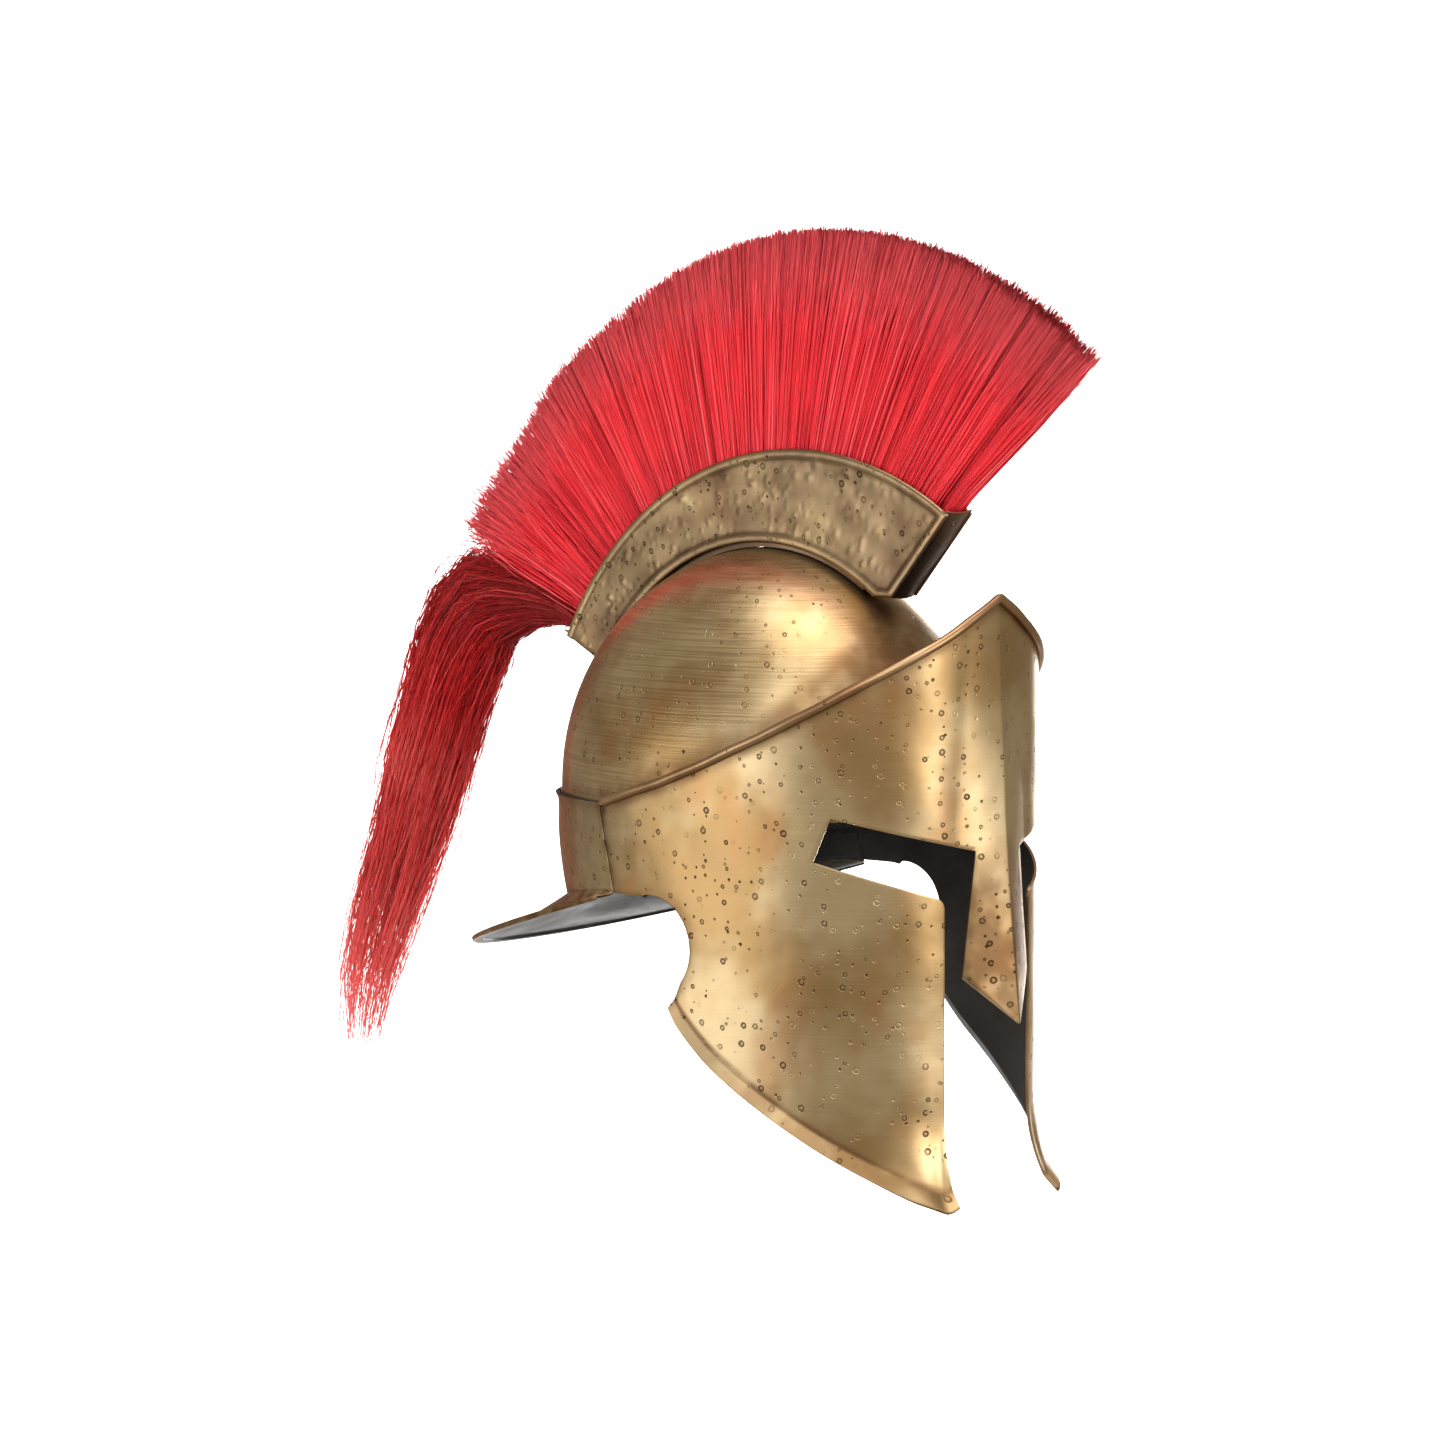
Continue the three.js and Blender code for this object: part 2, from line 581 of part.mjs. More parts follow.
// Plate across the channel's end, from one side plate's outer face to the other's
function holderEnd(name, angle, { bottom, top }) {
  const thickness = WALL;
  const plate = new THREE.BoxGeometry(2 * HOLDER_HALF_WIDTH, thickness, top - bottom);
  plate.translate(0, 0, (top + bottom) / 2);
  const mesh = piece(name, plate, darkBrass);
  mesh.rotation.x = Math.PI / 2 - angle;
  const nudge = angle < Math.PI / 2 ? -(thickness / 2 + GAP) : thickness / 2 + GAP;
  mesh.position.set(0, nudge * Math.sin(angle), nudge * Math.cos(angle));
  return mesh;
}
function holderFloor() {
  const half = HOLDER_HALF_WIDTH - PANEL_STEP - WALL - GAP;
  const place = (a, b, skin) => {
    const angle = mix(radians(FLOOR_FRONT), radians(FLOOR_REAR), a);
    const radius = holderBottom(angle) + FLOOR_RAISE + (skin === 0 ? WALL : 0);
    return crestPoint(mix(half, -half, b), angle, radius);
  };
  return piece('crest_holder_floor', between(place, 30, 1), darkBrass);
}
function crestSaddle() {
  const place = (a, b, skin) => {
    const angle = mix(radians(SADDLE_FRONT), radians(SADDLE_REAR), a);
    const radius = skin === 0 ? HOLDER_BOTTOM + FLOOR_RAISE - GAP : capRadius(angle) + GAP;
    return crestPoint(mix(SADDLE_HALF_WIDTH, -SADDLE_HALF_WIDTH, b), angle, radius);
  };
  return piece('crest_saddle', between(place, 30, 1), darkBrass);
}

// Length of upright hair: a fan of locks, ragged at its cut edge
function brushPart(part) {
  const columns = BRUSH_LOCKS * 3;
  const place = (a, b, skin) => {
    const angle = radians(mix(mix(part.from, part.to, a), mix(part.fromTip, part.toTip, a), b));
    const wave = Math.abs(Math.sin(Math.PI * BRUSH_LOCKS * a));
    const clipped = along(BRUSH_CUT, 'angle', 'radius', THREE.MathUtils.radToDeg(angle));
    const root = holderBottom(angle) + FLOOR_RAISE + WALL + BRUSH_ROOT_GAP;
    const radius = mix(root, clipped - LOCK_RAGGED * (1 - wave), b);
    const free = ease(radius, arcRadius(HOLDER_TOP, angle), clipped);
    const half = mix(BRUSH_ROOT_HALF_WIDTH, BRUSH_TIP_HALF_WIDTH, free) - LOCK_DEPTH * (1 - wave) * free;
    return crestPoint(skin === 0 ? half : -half, angle, radius);
  };
  return piece(part.name, between(place, columns, 3), brushHair);
}

// Loose tail: sections across the path, with shallow grooves between its locks
function crestTail() {
  const points = [];
  const faces = [];
  const last = TAIL.length - 1;
  const sides = TAIL_SIDES;
  for (let i = 0; i <= last; i += 1) {
    const row = TAIL[i];
    const before = TAIL[Math.max(i - 1, 0)];
    const after = TAIL[Math.min(i + 1, last)];
    const path = new THREE.Vector2(after.behind - before.behind, after.height - before.height).normalize();
    for (let j = 0; j < sides; j += 1) {
      const turn = 2 * Math.PI * j / sides;
      const groove = i < 2 ? 1 : 1 - TAIL_LOCK_DEPTH * (1 + Math.cos(TAIL_LOCKS * turn + 0.35 * i)) / 2;
      const across = row.halfWidth * groove * Math.cos(turn);
      const depth = row.halfDepth * groove * Math.sin(turn);
      points.push(across, row.behind - path.y * depth, row.height + path.x * depth);
    }
  }
  const at = (i, j) => i * sides + (j % sides);
  for (let i = 0; i < last; i += 1) {
    for (let j = 0; j < sides; j += 1) {
      faces.push(at(i, j), at(i + 1, j), at(i + 1, j + 1), at(i, j), at(i + 1, j + 1), at(i, j + 1));
    }
  }
  for (let j = 1; j < sides - 1; j += 1) {
    faces.push(at(0, 0), at(0, j), at(0, j + 1));
    faces.push(at(last, 0), at(last, j + 1), at(last, j));
  }
  const geometry = new THREE.BufferGeometry();
  geometry.setAttribute('position', new THREE.Float32BufferAttribute(points, 3));
  geometry.setIndex(faces);
  return piece('crest_tail', geometry, tailHair);
}

const helmet = new THREE.Group();
helmet.add(skullCap());
helmet.add(facePlate());
helmet.add(browBead());
helmet.add(napeBand());
helmet.add(neckGuard());
helmet.add(crestSaddle());
helmet.add(holderFloor());
helmet.add(holderSide('crest_holder_left', 1));
helmet.add(holderSide('crest_holder_right', -1));
helmet.add(holderEnd('crest_holder_front', radians(HOLDER_FRONT), HOLDER_FRONT_PLATE));
helmet.add(holderEnd('crest_holder_rear', radians(HOLDER_REAR), HOLDER_REAR_PLATE));
for (const part of BRUSH_PARTS) helmet.add(brushPart(part));
helmet.add(crestTail());
helmet.position.z = -SEAT_HEIGHT;

const group = new THREE.Group();
group.add(helmet);
export default group;
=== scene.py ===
"""Looks of a Greek helmet of aged brass sheet, with an upright crest of red hair and a falling hair tail.

Shapes are worked out in millimetres about the centre of the skull cap's rim: x to the wearer's left, y
behind, z up. solid_points turns them into metres about the seat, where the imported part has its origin.
"""

import math

import bmesh
import bpy
import numpy as np
from mathutils import Matrix, Vector


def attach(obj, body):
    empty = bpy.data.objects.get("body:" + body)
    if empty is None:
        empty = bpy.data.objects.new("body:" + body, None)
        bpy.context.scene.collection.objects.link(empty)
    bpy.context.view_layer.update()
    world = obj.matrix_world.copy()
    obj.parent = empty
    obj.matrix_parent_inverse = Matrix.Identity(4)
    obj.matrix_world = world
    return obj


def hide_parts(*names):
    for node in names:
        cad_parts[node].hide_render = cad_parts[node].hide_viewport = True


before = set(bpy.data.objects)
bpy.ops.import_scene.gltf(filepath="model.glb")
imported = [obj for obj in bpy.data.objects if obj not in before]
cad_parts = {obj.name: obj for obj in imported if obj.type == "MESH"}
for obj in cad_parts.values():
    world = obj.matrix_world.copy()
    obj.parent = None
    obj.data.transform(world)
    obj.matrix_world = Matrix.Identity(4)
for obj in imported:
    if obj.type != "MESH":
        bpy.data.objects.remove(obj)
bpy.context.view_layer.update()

MM = 0.001
SEAT_HEIGHT = 123.5
WALL = 1.5

# Ring: plan outline of the face plate and the nape band
RING_HALF_WIDTH = 99.3
RING_FRONT = 149.2
RING_REAR = 124.2
FRONT_POWER = 2.3
REAR_POWER = 2.0

# Skull cap
CAP_HALF_WIDTH = 97.5
CAP_HALF_LENGTH = 122.4
CAP_HEIGHT = 125.0
CAP_SKIRT = 11.5
CAP_PAINT_LINE = -6.5
CAP_COLUMNS = 161
CAP_ROWS = 62
CAP_SHEET = (110, 122)

# Face plate: girth round the ring from the middle of the front, height from the cap's rim
RIDGE_FORWARD = [(-108, 16.6), (-21, 8), (105, 1)]
RIDGE_REACH = [(-108, 34), (-21, 27), (105, 20)]
RIDGE_POWER = 1.15
RIDGE_ROUND = 0.35
MIDDLE_COLUMNS = [0, 0.03, 0.07, 0.13, 0.22, 0.4, 0.6, 0.8, 1]
BROW_LINE = [(0, 105.6), (35, 85.8), (88, 58), (136, 33.6), (185, 12.8), (240, -4.8)]
CHEEK_EDGE = [
    (33.5, -195.4), (37.5, -198.2), (43, -196), (55, -191), (102, -166), (154, -132.5), (176, -112.5),
    (183.5, -101.5),
]
CHEEK_FRONT = 33.5
CHEEK_REAR = (182.6, -102.7)
EYE_INNER_TOP = (17.2, -20.1)
EYE_OUTER_TOP = (92, -2.6)
EYE_OUTER_BOTTOM = (101, -24.4)
EYE_INNER_BOTTOM = (33.5, -44.4)
EYE_CORNER_RADIUS = 6.0
NASAL_CORNER = (25.2, -83.4)
NASAL_TIP = (0.6, -106.9)
THROAT = (197, -73)
THROAT_RADIUS = 26.0
THROAT_LEAVE = 129.0
LOWER_EDGE = -48.3
SEAM_TOP = (237.5, 0)
SEAM_BOTTOM = (224, -49)
LIP_OUT = 3.4
LIP_WIDTH = 7.5
CURL_OUT = 13.0
CURL_WIDTH = 44.0
CURL_SPREAD = 26.0

# Cells along the edges of the face plate's patches
BROW_CELLS = (27, 46)
BROW_ROWS = 44
BROW_END = 2
SEAM_MIDDLE = -23.6
NASAL_CELLS = (12, 24)
TEMPLE_CELLS = (38, 8)
TEMPLE_ROWS = 9
THROAT_POINTS = 40
CHEEK_REAR_CELLS = 10
EYE_CORNER_POINTS = 7
EYE_CORNER_TURN = 73.5
EYE_CORNER_DROP = 0.68
SLOT_CELLS = 22
LIP_ROWS = 6
LIP_SPLIT = 3

# Brow bead
BEAD_RADIUS = 2.4
BEAD_OUT = BEAD_RADIUS - WALL
BEAD_HALF_GIRTH = 235.0
BEAD_SECTIONS = 260
BEAD_SIDES = 16

# Nape band and neck guard
SEAM_GAP = 0.6
BAND_TOP = -3.0
BAND_TOP_DROP = 2.5
BAND_REAR_BOTTOM = -61.0
BAND_TUCK = 5.0
BAND_TUCK_START = -22.0
BAND_TUCK_POWER = 1.6
BAND_SPREAD = 60.0
BAND_LIP = 1.8
BAND_LIP_WIDTH = 5.0
BAND_COLUMNS = 150
BAND_ROWS = 22
GUARD_CENTRE = 24.0
GUARD_HALF_WIDTH = 103.0
GUARD_REAR = 190.0
GUARD_POWER = 2.2
GUARD_RIM_HEIGHT = -47.5
GUARD_SLOPE = 0.285
GUARD_SAG = 3.5
GUARD_SAG_WIDTH = 45.0
GUARD_GAP = -0.6
GUARD_TURN = 88.6
GUARD_START = SEAM_BOTTOM[0] + 1.5
GUARD_COLUMNS = 140
GUARD_SHEET = (320, 70)
HEM_DEPTH = 3.0
HEM_END = 2.2

# Crest holder: angles from the front over the top to the back, about the centre of the rim
HOLDER_FRONT = 49.4
HOLDER_REAR = 153.0
HOLDER_HALF_WIDTH = 10.0
HOLDER_BOTTOM = 127.6
HOLDER_FRONT_FLOOR = 103.0
HOLDER_TOP_AHEAD = 23.6
HOLDER_TOP_HEIGHT = -8.0
HOLDER_TOP_RADIUS = 184.6
HOLDER_WALL = 1.3
SIDE_COLUMNS = 260
SIDE_ROWS = 38
SIDE_GIRTH = 150
PANEL_BORDER = 5.0
PANEL_STEP = 0.8
BORDER_ROLL = 0.2
BUMPS = 520
BUMP_WIDTH = 1.5
BUMP_HEIGHT = 0.48
END_COLUMNS = 25
END_ROWS = 41
END_WALL = 1.2

# Hair of the crest: cut line by angle in degrees and radius, and the three lengths of the brush
BRUSH_CUT = [
    (46, 308), (60, 303), (83, 290.5), (100, 277.5), (114, 266), (125, 262), (135, 254), (143, 255),
    (150, 258),
]
BRUSH_LENGTHS = {
    "front": (50.6, 81.0, 47.4, 80.0),
    "middle": (81.0, 113.8, 80.0, 112.8),
    "rear": (113.8, 146.2, 112.8, 149.5),
}
BRUSH_ROOT = 131.0
BRUSH_STRANDS = 8000
BRUSH_CLUMPS = 120
BRUSH_LAYERS = 5
BRUSH_STEPS = np.array([0, 0.36, 0.7, 1.0])
BRUSH_THICKNESS = np.array([0.3, 0.32, 0.28, 0.13])
BRUSH_BEHIND_PLATE = 1.1
STRAND_GUIDE = np.array([0.31, 0.2, 0.93])

# Hair of the tail: how far behind, height, half depth and half width of its sections
TAIL = [
    (116.5, 67.2, 4, 7), (138.6, 80, 5.4, 7.5), (158, 88, 11, 9), (183, 90, 20, 12), (211, 87, 32, 16),
    (235, 55, 33, 18), (252, 16, 31, 19), (266, -18, 30, 19), (278, -50, 28, 18), (291, -79, 27, 17),
    (301, -105, 25, 16), (309, -128, 23, 14), (314, -150, 18, 11), (316, -174, 10, 7),
]
TAIL_STRANDS = 1900
TAIL_LOCKS = 70
TAIL_WISPS = 7
TAIL_STEPS = 12
TAIL_SHORTEST = 0.56
TAIL_SWAY = 56

# Camera: how far round and up it stands, how far off, and the length that one pixel spans there
TURN = math.radians(47.1)
RISE = math.radians(5.2)
DISTANCE = 2600.0
PIXEL = 0.52
IMAGE_WIDTH = 1440
RIM_CENTRE_PIXEL = (775, 787)
SENSOR_WIDTH = 36
SIGHT = 100

# Light and dark tone of each metal, as linear red, green and blue, and tints that darken the brass, the
# last one for dark joints and for painted shade
PLATE_TONES = (0.69, 0.535, 0.305), (0.47, 0.305, 0.135)
HOLDER_TONES = (0.60, 0.44, 0.24), (0.36, 0.255, 0.15)
EDGE_TONES = (0.70, 0.48, 0.27), (0.45, 0.28, 0.14)
DARK_TONES = (0.34, 0.24, 0.17), (0.16, 0.10, 0.065)
WARM_TINT = (1.1, 0.82, 0.75)
LINE_TINT = (0.6, 0.6, 0.6)
SEAM_AND_SHADE_TINT = (0.36, 0.26, 0.24)

# Tones of the etched marks, the paint, the floor and the room's even light
MARK_TONE = (0.055, 0.03, 0.014)
PAINT_DEEP = (0.005, 0.0045, 0.004)
PAINT_WORN = (0.016, 0.015, 0.013)
PAINT_SCUFF = (0.09, 0.085, 0.08)
FLOOR_TONES = ((0.93, 0.93, 0.93), (0.96, 0.96, 0.96))
ROOM_TONE = (0.32, 0.285, 0.24)

# Scales of the metal's patterns, in clouds for each metre
TONE_CLOUDS = 13
WARM_CLOUDS = 22
SEAM_CLOUDS = 46
DENT_CLOUDS = 55
MARK_GROUPS = 19

# Etched marks: places for each metre, smallest radius, spread of the radii, and depth from middle to rim
RINGS = (95, 0.0009, 0.0011, [(0.4, 0.3), (0.62, 1.0), (0.8, 1.0), (1.0, 0.0)])
DOTS = (150, 0.0004, 0.0007, [(0.5, 1.0), (1.0, 0.0)])

# Lights: metres right, up and near as the camera sees the rim's centre, width, height, watts and aim
LIGHTS = {
    "key_left": (-2.08, -0.15, 1.0, 1.5, 1.1, 11),
    "right_strip": (1.75, 0.31, 1.85, 0.8, 1.45, 22),
    "rim_right": (0.9, 0.0, -2.4, 0.6, 1.8, 34),
    "top_soft": (0.15, 2.4, 0.7, 1.9, 1.6, 38),
    "front_fill": (-0.5, 1.5, 3.3, 2.8, 2.2, 42),
    "floor_bounce": (-0.3, -1.3, -2.3, 2.4, 1.0, 16),
    "backdrop_left": (-2.2, 1.4, -1.6, 1.5, 1.5, 200, (-1.2, -0.6, -4.6)),
    "backdrop_right": (2.2, 1.4, -1.6, 1.5, 1.5, 200, (1.2, -0.6, -4.6)),
}

# Floor: radius and height of its rings, from the middle out and up the sweep
FLOOR = [(0, -900), (1500, -900), (3000, -900), (4200, -860), (4700, -700), (5000, -300), (5000, 2600)]
FLOOR_COLUMNS = 96


def along(rows, at):
    """Smooth curve through (place, value) rows: cubic pieces with the slopes of the neighbouring rows."""
    place, value = np.array(rows, float).T
    before = np.maximum(np.arange(len(place)) - 1, 0)
    after = np.minimum(np.arange(len(place)) + 1, len(place) - 1)
    slope = (value[after] - value[before]) / (place[after] - place[before])
    at = np.clip(at, place[0], place[-1])
    row = np.clip(np.searchsorted(place, at) - 1, 0, len(place) - 2)
    width = place[row + 1] - place[row]
    t = (at - place[row]) / width
    start = value[row] * (2 * t**3 - 3 * t**2 + 1) + slope[row] * width * (t**3 - 2 * t**2 + t)
    return start + value[row + 1] * (3 * t**2 - 2 * t**3) + slope[row + 1] * width * (t**3 - t**2)


def ease(value, low, high):
    """Smooth step: 0 up to low, 1 from high on, and 3t squared less 2t cubed between."""
    t = np.clip((value - low) / (high - low), 0, 1)
    return t * t * (3 - 2 * t)


def unit(vectors):
    """Each vector divided by its length."""
    return vectors / np.maximum(np.linalg.norm(vectors, axis=-1, keepdims=True), 1e-12)


def trace_ring():
    """Half the ring by girth: a superellipse in front of the ears and an ellipse behind them."""
    turn = np.linspace(0, np.pi, 2881)
    in_front = turn < np.pi / 2
    power = np.where(in_front, FRONT_POWER, REAR_POWER)
    depth = np.where(in_front, RING_FRONT, RING_REAR)
    across = (np.sin(turn) / RING_HALF_WIDTH) ** power
    radius = (across + (np.abs(np.cos(turn)) / depth) ** power) ** (-1 / power)
    side = radius * np.sin(turn)
    forward = radius * np.cos(turn)
    step = np.hypot(np.diff(side), np.diff(forward))
    return np.concatenate([[0], np.cumsum(step)]), side, forward


RING = trace_ring()
HALF_GIRTH = RING[0][-1]


def ring_at(girth):
    """Side and forward place on the ring at a signed girth, also past the middle of the back."""
    at = np.minimum(np.abs(girth), 2 * HALF_GIRTH - np.abs(girth))
    mirror = np.where(girth < 0, -1, 1) * np.where(np.abs(girth) > HALF_GIRTH, -1, 1)
    return mirror * np.interp(at, RING[0], RING[1]), np.interp(at, RING[0], RING[2])


def girth_of(points):
    """Girth, without its side, of the ring's point that lies in the same direction as each point."""
    toward = np.arctan2(np.abs(points[:, 0]), -points[:, 1])
    return np.interp(toward, np.arctan2(RING[1], RING[2]), RING[0])


def cheek_edge(girth):
    """Height of the cheek's lower edge."""
    return along(CHEEK_EDGE, np.clip(np.abs(girth), CHEEK_FRONT, CHEEK_REAR[0]))


def ridge_forward(girth, height):
    """How far the middle ridge stands forward: most in the middle, rounded there, and gone at its reach."""
    from_middle = np.hypot(girth, RIDGE_ROUND) - RIDGE_ROUND
    share = np.maximum(0, 1 - from_middle / along(RIDGE_REACH, height))
    return along(RIDGE_FORWARD, height) * share**RIDGE_POWER


def flare_out(girth, height):
    """How far the cheek's lower edge stands out: a narrow lip, and a wide curl at the front tip."""
    rise = np.maximum(0, height - cheek_edge(girth))
    lip = LIP_OUT * np.maximum(0, 1 - rise / LIP_WIDTH)
    curl = CURL_OUT * np.exp(-(((np.abs(girth) - CHEEK_FRONT) / CURL_SPREAD) ** 2))
    return lip + curl * np.maximum(0, 1 - rise / CURL_WIDTH) ** 2


def beaten(girth, height):
    """Slow waves that the hammer leaves in a sheet, under half a millimetre deep."""
    first = np.sin(girth / 17 + 1.3 * np.sin(height / 23))
    second = np.sin(height / 13 + 1.7 * np.sin(girth / 29))
    return 0.16 * first * second + 0.1 * np.sin(girth / 9 + height / 11)


def ring_surface(girth, height, out):
    """Point of the upright sheet over the ring, stood out by a distance along the ring's normal."""
    side, forward = ring_at(girth)
    side_before, forward_before = ring_at(girth - 0.5)
    side_after, forward_after = ring_at(girth + 0.5)
    tangent_side = side_after - side_before
    tangent_forward = forward_after - forward_before
    length = np.hypot(tangent_side, tangent_forward)
    ahead = forward + ridge_forward(girth, height)
    x = side - tangent_forward / length * out
    y = -(ahead + tangent_side / length * out)
    return np.stack([x, y, height + 0 * x], axis=-1)


def plate_surface(girth, height):
    """Face plate's outer face: the ring's sheet with the cheek's flare and the hammer's waves."""
    return ring_surface(girth, height, flare_out(girth, height) + beaten(girth, height))


def brow_line(girth):
    """Height of the brow bead's middle."""
    return along(BROW_LINE, np.abs(girth))


def brow_edge(girth):
    """Height of the plate's upper edge, tucked against the bead's lower side."""
    slope = brow_line(np.abs(girth) + 1) - brow_line(np.abs(girth))
    return brow_line(girth) - (BEAD_RADIUS - 0.5) * np.hypot(1, slope)


def solid_points(points):
    """Points in millimetres about the rim's centre, as metres about the seat."""
    return (np.asarray(points, float) - (0, 0, SEAT_HEIGHT)) * MM


def add_map(mesh, name, parts, corners):
    """Stores two numbers of each point as a map, by the point at each corner of the faces."""
    mesh.uv_layers.new(name=name).data.foreach_set("uv", np.stack(parts, -1)[corners].ravel())


def new_piece(name, points, faces, finishes, sheet=None, strand=None):
    """Mesh object from points in millimetres and a list of face arrays, each of one corner count.

    Its map holds, for each point, lengths in millimetres along and up the sheet, or two shares of a strand.
    """
    mesh = bpy.data.meshes.new(name)
    flat = solid_points(points).reshape(-1, 3)
    corners = np.concatenate([block.ravel() for block in faces])
    sizes = np.concatenate([np.full(len(block), block.shape[1]) for block in faces])
    mesh.vertices.add(len(flat))
    mesh.vertices.foreach_set("co", flat.ravel())
    mesh.loops.add(len(corners))
    mesh.loops.foreach_set("vertex_index", corners.astype(np.int32))
    mesh.polygons.add(len(sizes))
    starts = np.concatenate([[0], np.cumsum(sizes)[:-1]])
    mesh.polygons.foreach_set("loop_start", starts.astype(np.int32))
    mesh.polygons.foreach_set("use_smooth", np.full(len(sizes), True))
    mesh.update(calc_edges=True)
    if sheet is not None:
        add_map(mesh, "sheet", [part.ravel() * MM for part in sheet], corners)
    if strand is not None:
        add_map(mesh, "strand", strand, corners)
    for finish in finishes:
        mesh.materials.append(finish)
    piece = bpy.data.objects.new(name, mesh)
    bpy.context.scene.collection.objects.link(piece)
    return piece


def grid_faces(columns, rows, first=0, round_columns=False, round_rows=False, flip=False):
    """Four-cornered faces of a grid whose points run along its rows, and then by column."""
    i = np.arange(columns if round_columns else columns - 1)
    j = np.arange(rows if round_rows else rows - 1)
    i, j = (part.ravel() for part in np.meshgrid(i, j, indexing="ij"))
    next_i = (i + 1) % columns
    next_j = (j + 1) % rows
    corners = [i * rows + j, next_i * rows + j, next_i * rows + next_j, i * rows + next_j]
    return first + np.stack(corners[::-1] if flip else corners, axis=-1)


def shares(columns, rows, first=0):
    """Grid of even shares: across a sheet from the first to 1, and up it from 0 to 1."""
    return np.meshgrid(np.linspace(first, 1, columns), np.linspace(0, 1, rows), indexing="ij")


def weld(piece, closed=False):
    """Merges points that lie together, and turns the faces of a closed shape outward."""
    work = bmesh.new()
    work.from_mesh(piece.data)
    bmesh.ops.remove_doubles(work, verts=work.verts, dist=0.02 * MM)
    bmesh.ops.dissolve_degenerate(work, edges=work.edges, dist=0.005 * MM)
    if closed:
        bmesh.ops.recalc_face_normals(work, faces=work.faces)
    work.to_mesh(piece.data)
    work.free()


def add_wall(piece, rim_slot=2, thickness=WALL):
    """Gives an outer face its wall: the inner side takes slot 1, and the cut edge a slot of its own."""
    wall = piece.modifiers.new("wall", "SOLIDIFY")
    wall.thickness = thickness * MM
    wall.offset = -1
    wall.material_offset = 1
    wall.material_offset_rim = rim_slot


def soften(piece, width=0.35):
    """Small round along the sharp edges of a sheet."""
    edge = piece.modifiers.new("edge", "BEVEL")
    edge.width = width * MM
    edge.segments = 2
    edge.limit_method = "ANGLE"
    edge.angle_limit = math.radians(55)


def place(piece, slot, node):
    """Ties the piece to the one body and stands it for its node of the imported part."""
    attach(piece, "root")
    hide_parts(node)


class Finish:
    """A material and its node tree, with short calls that add and join nodes."""

    def __init__(self, name):
        self.material = bpy.data.materials.new(name)
        self.material.use_nodes = True
        self.tree = self.material.node_tree
        self.tree.nodes.clear()
        self.shader = self.node("ShaderNodeBsdfPrincipled")
        output = self.node("ShaderNodeOutputMaterial")
        self.tree.links.new(self.shader.outputs[0], output.inputs[0])

    def node(self, kind, **settings):
        """Adds a node and sets its own properties."""
        made = self.tree.nodes.new(kind)
        for key, value in settings.items():
            setattr(made, key, value)
        return made

    def feed(self, node, socket, value):
        """Joins an output to a node's input, or sets the input's value."""
        if isinstance(value, bpy.types.NodeSocket):
            self.tree.links.new(value, node.inputs[socket])
        else:
            node.inputs[socket].default_value = value

    def place(self, scale=(1, 1, 1)):
        """Object coordinates in metres, stretched by a scale."""
        coordinates = self.node("ShaderNodeTexCoord")
        mapping = self.node("ShaderNodeMapping")
        self.feed(mapping, "Vector", coordinates.outputs["Object"])
        self.feed(mapping, "Scale", scale)
        return mapping.outputs[0]

    def noise(self, where, scale, detail, roughness):
        """Cloud noise from 0 to 1."""
        cloud = self.node("ShaderNodeTexNoise")
        self.feed(cloud, "Vector", where)
        self.feed(cloud, "Scale", scale)
        self.feed(cloud, "Detail", detail)
        self.feed(cloud, "Roughness", roughness)
        return cloud.outputs[0]

    def ramp(self, factor, stops, smooth=True):
        """Grey or colour by factor, from (place, value) stops."""
        ramp = self.node("ShaderNodeValToRGB")
        ramp.color_ramp.interpolation = "EASE" if smooth else "LINEAR"
        marks = ramp.color_ramp.elements
        while len(marks) < len(stops):
            marks.new(0.5)
        for mark, (at, value) in zip(marks, stops):
            mark.position = at
            mark.color = (*value, 1) if isinstance(value, tuple) else (value, value, value, 1)
        self.feed(ramp, "Fac", factor)
        return ramp.outputs[0]

    def math(self, operation, a, b):
        """One sum of two numbers."""
        sum_node = self.node("ShaderNodeMath", operation=operation)
        self.feed(sum_node, 0, a)
        self.feed(sum_node, 1, b)
        return sum_node.outputs[0]

    def blend(self, factor, a, b, mode="MIX"):
        """Two colours blended by a factor."""
        mix = self.node("ShaderNodeMix", data_type="RGBA", blend_type=mode)
        self.feed(mix, 0, factor)
        self.feed(mix, 6, a if isinstance(a, bpy.types.NodeSocket) else (*a, 1))
        self.feed(mix, 7, b if isinstance(b, bpy.types.NodeSocket) else (*b, 1))
        return mix.outputs[2]

    def sheet(self, scale=(1, 1, 1)):
        """The piece's own map of lengths along and up its sheet, in metres, stretched by a scale."""
        mapping = self.node("ShaderNodeMapping")
        self.feed(mapping, "Vector", self.node("ShaderNodeUVMap", uv_map="sheet").outputs[0])
        self.feed(mapping, "Scale", scale)
        return mapping.outputs[0]

    def attribute(self, name):
        """The piece's own number at each point."""
        return self.node("ShaderNodeAttribute", attribute_name=name).outputs["Fac"]

    def bump(self, height, distance, strength, under=None):
        """Relief of a height in metres, over the relief beneath it."""
        bump = self.node("ShaderNodeBump")
        self.feed(bump, "Height", height)
        self.feed(bump, "Distance", distance)
        self.feed(bump, "Strength", strength)
        if under is not None:
            self.feed(bump, "Normal", under)
        return bump.outputs[0]

    def cells(self, scale, where):
        """Distance in metres to the nearest of scattered points, and two random numbers for each."""
        cell = self.node("ShaderNodeTexVoronoi", voronoi_dimensions="2D")
        self.feed(cell, "Vector", where)
        self.feed(cell, "Scale", scale)
        split = self.node("ShaderNodeSeparateColor")
        self.feed(split, 0, cell.outputs["Color"])
        return self.math("DIVIDE", cell.outputs["Distance"], scale), split.outputs[0], split.outputs[1]


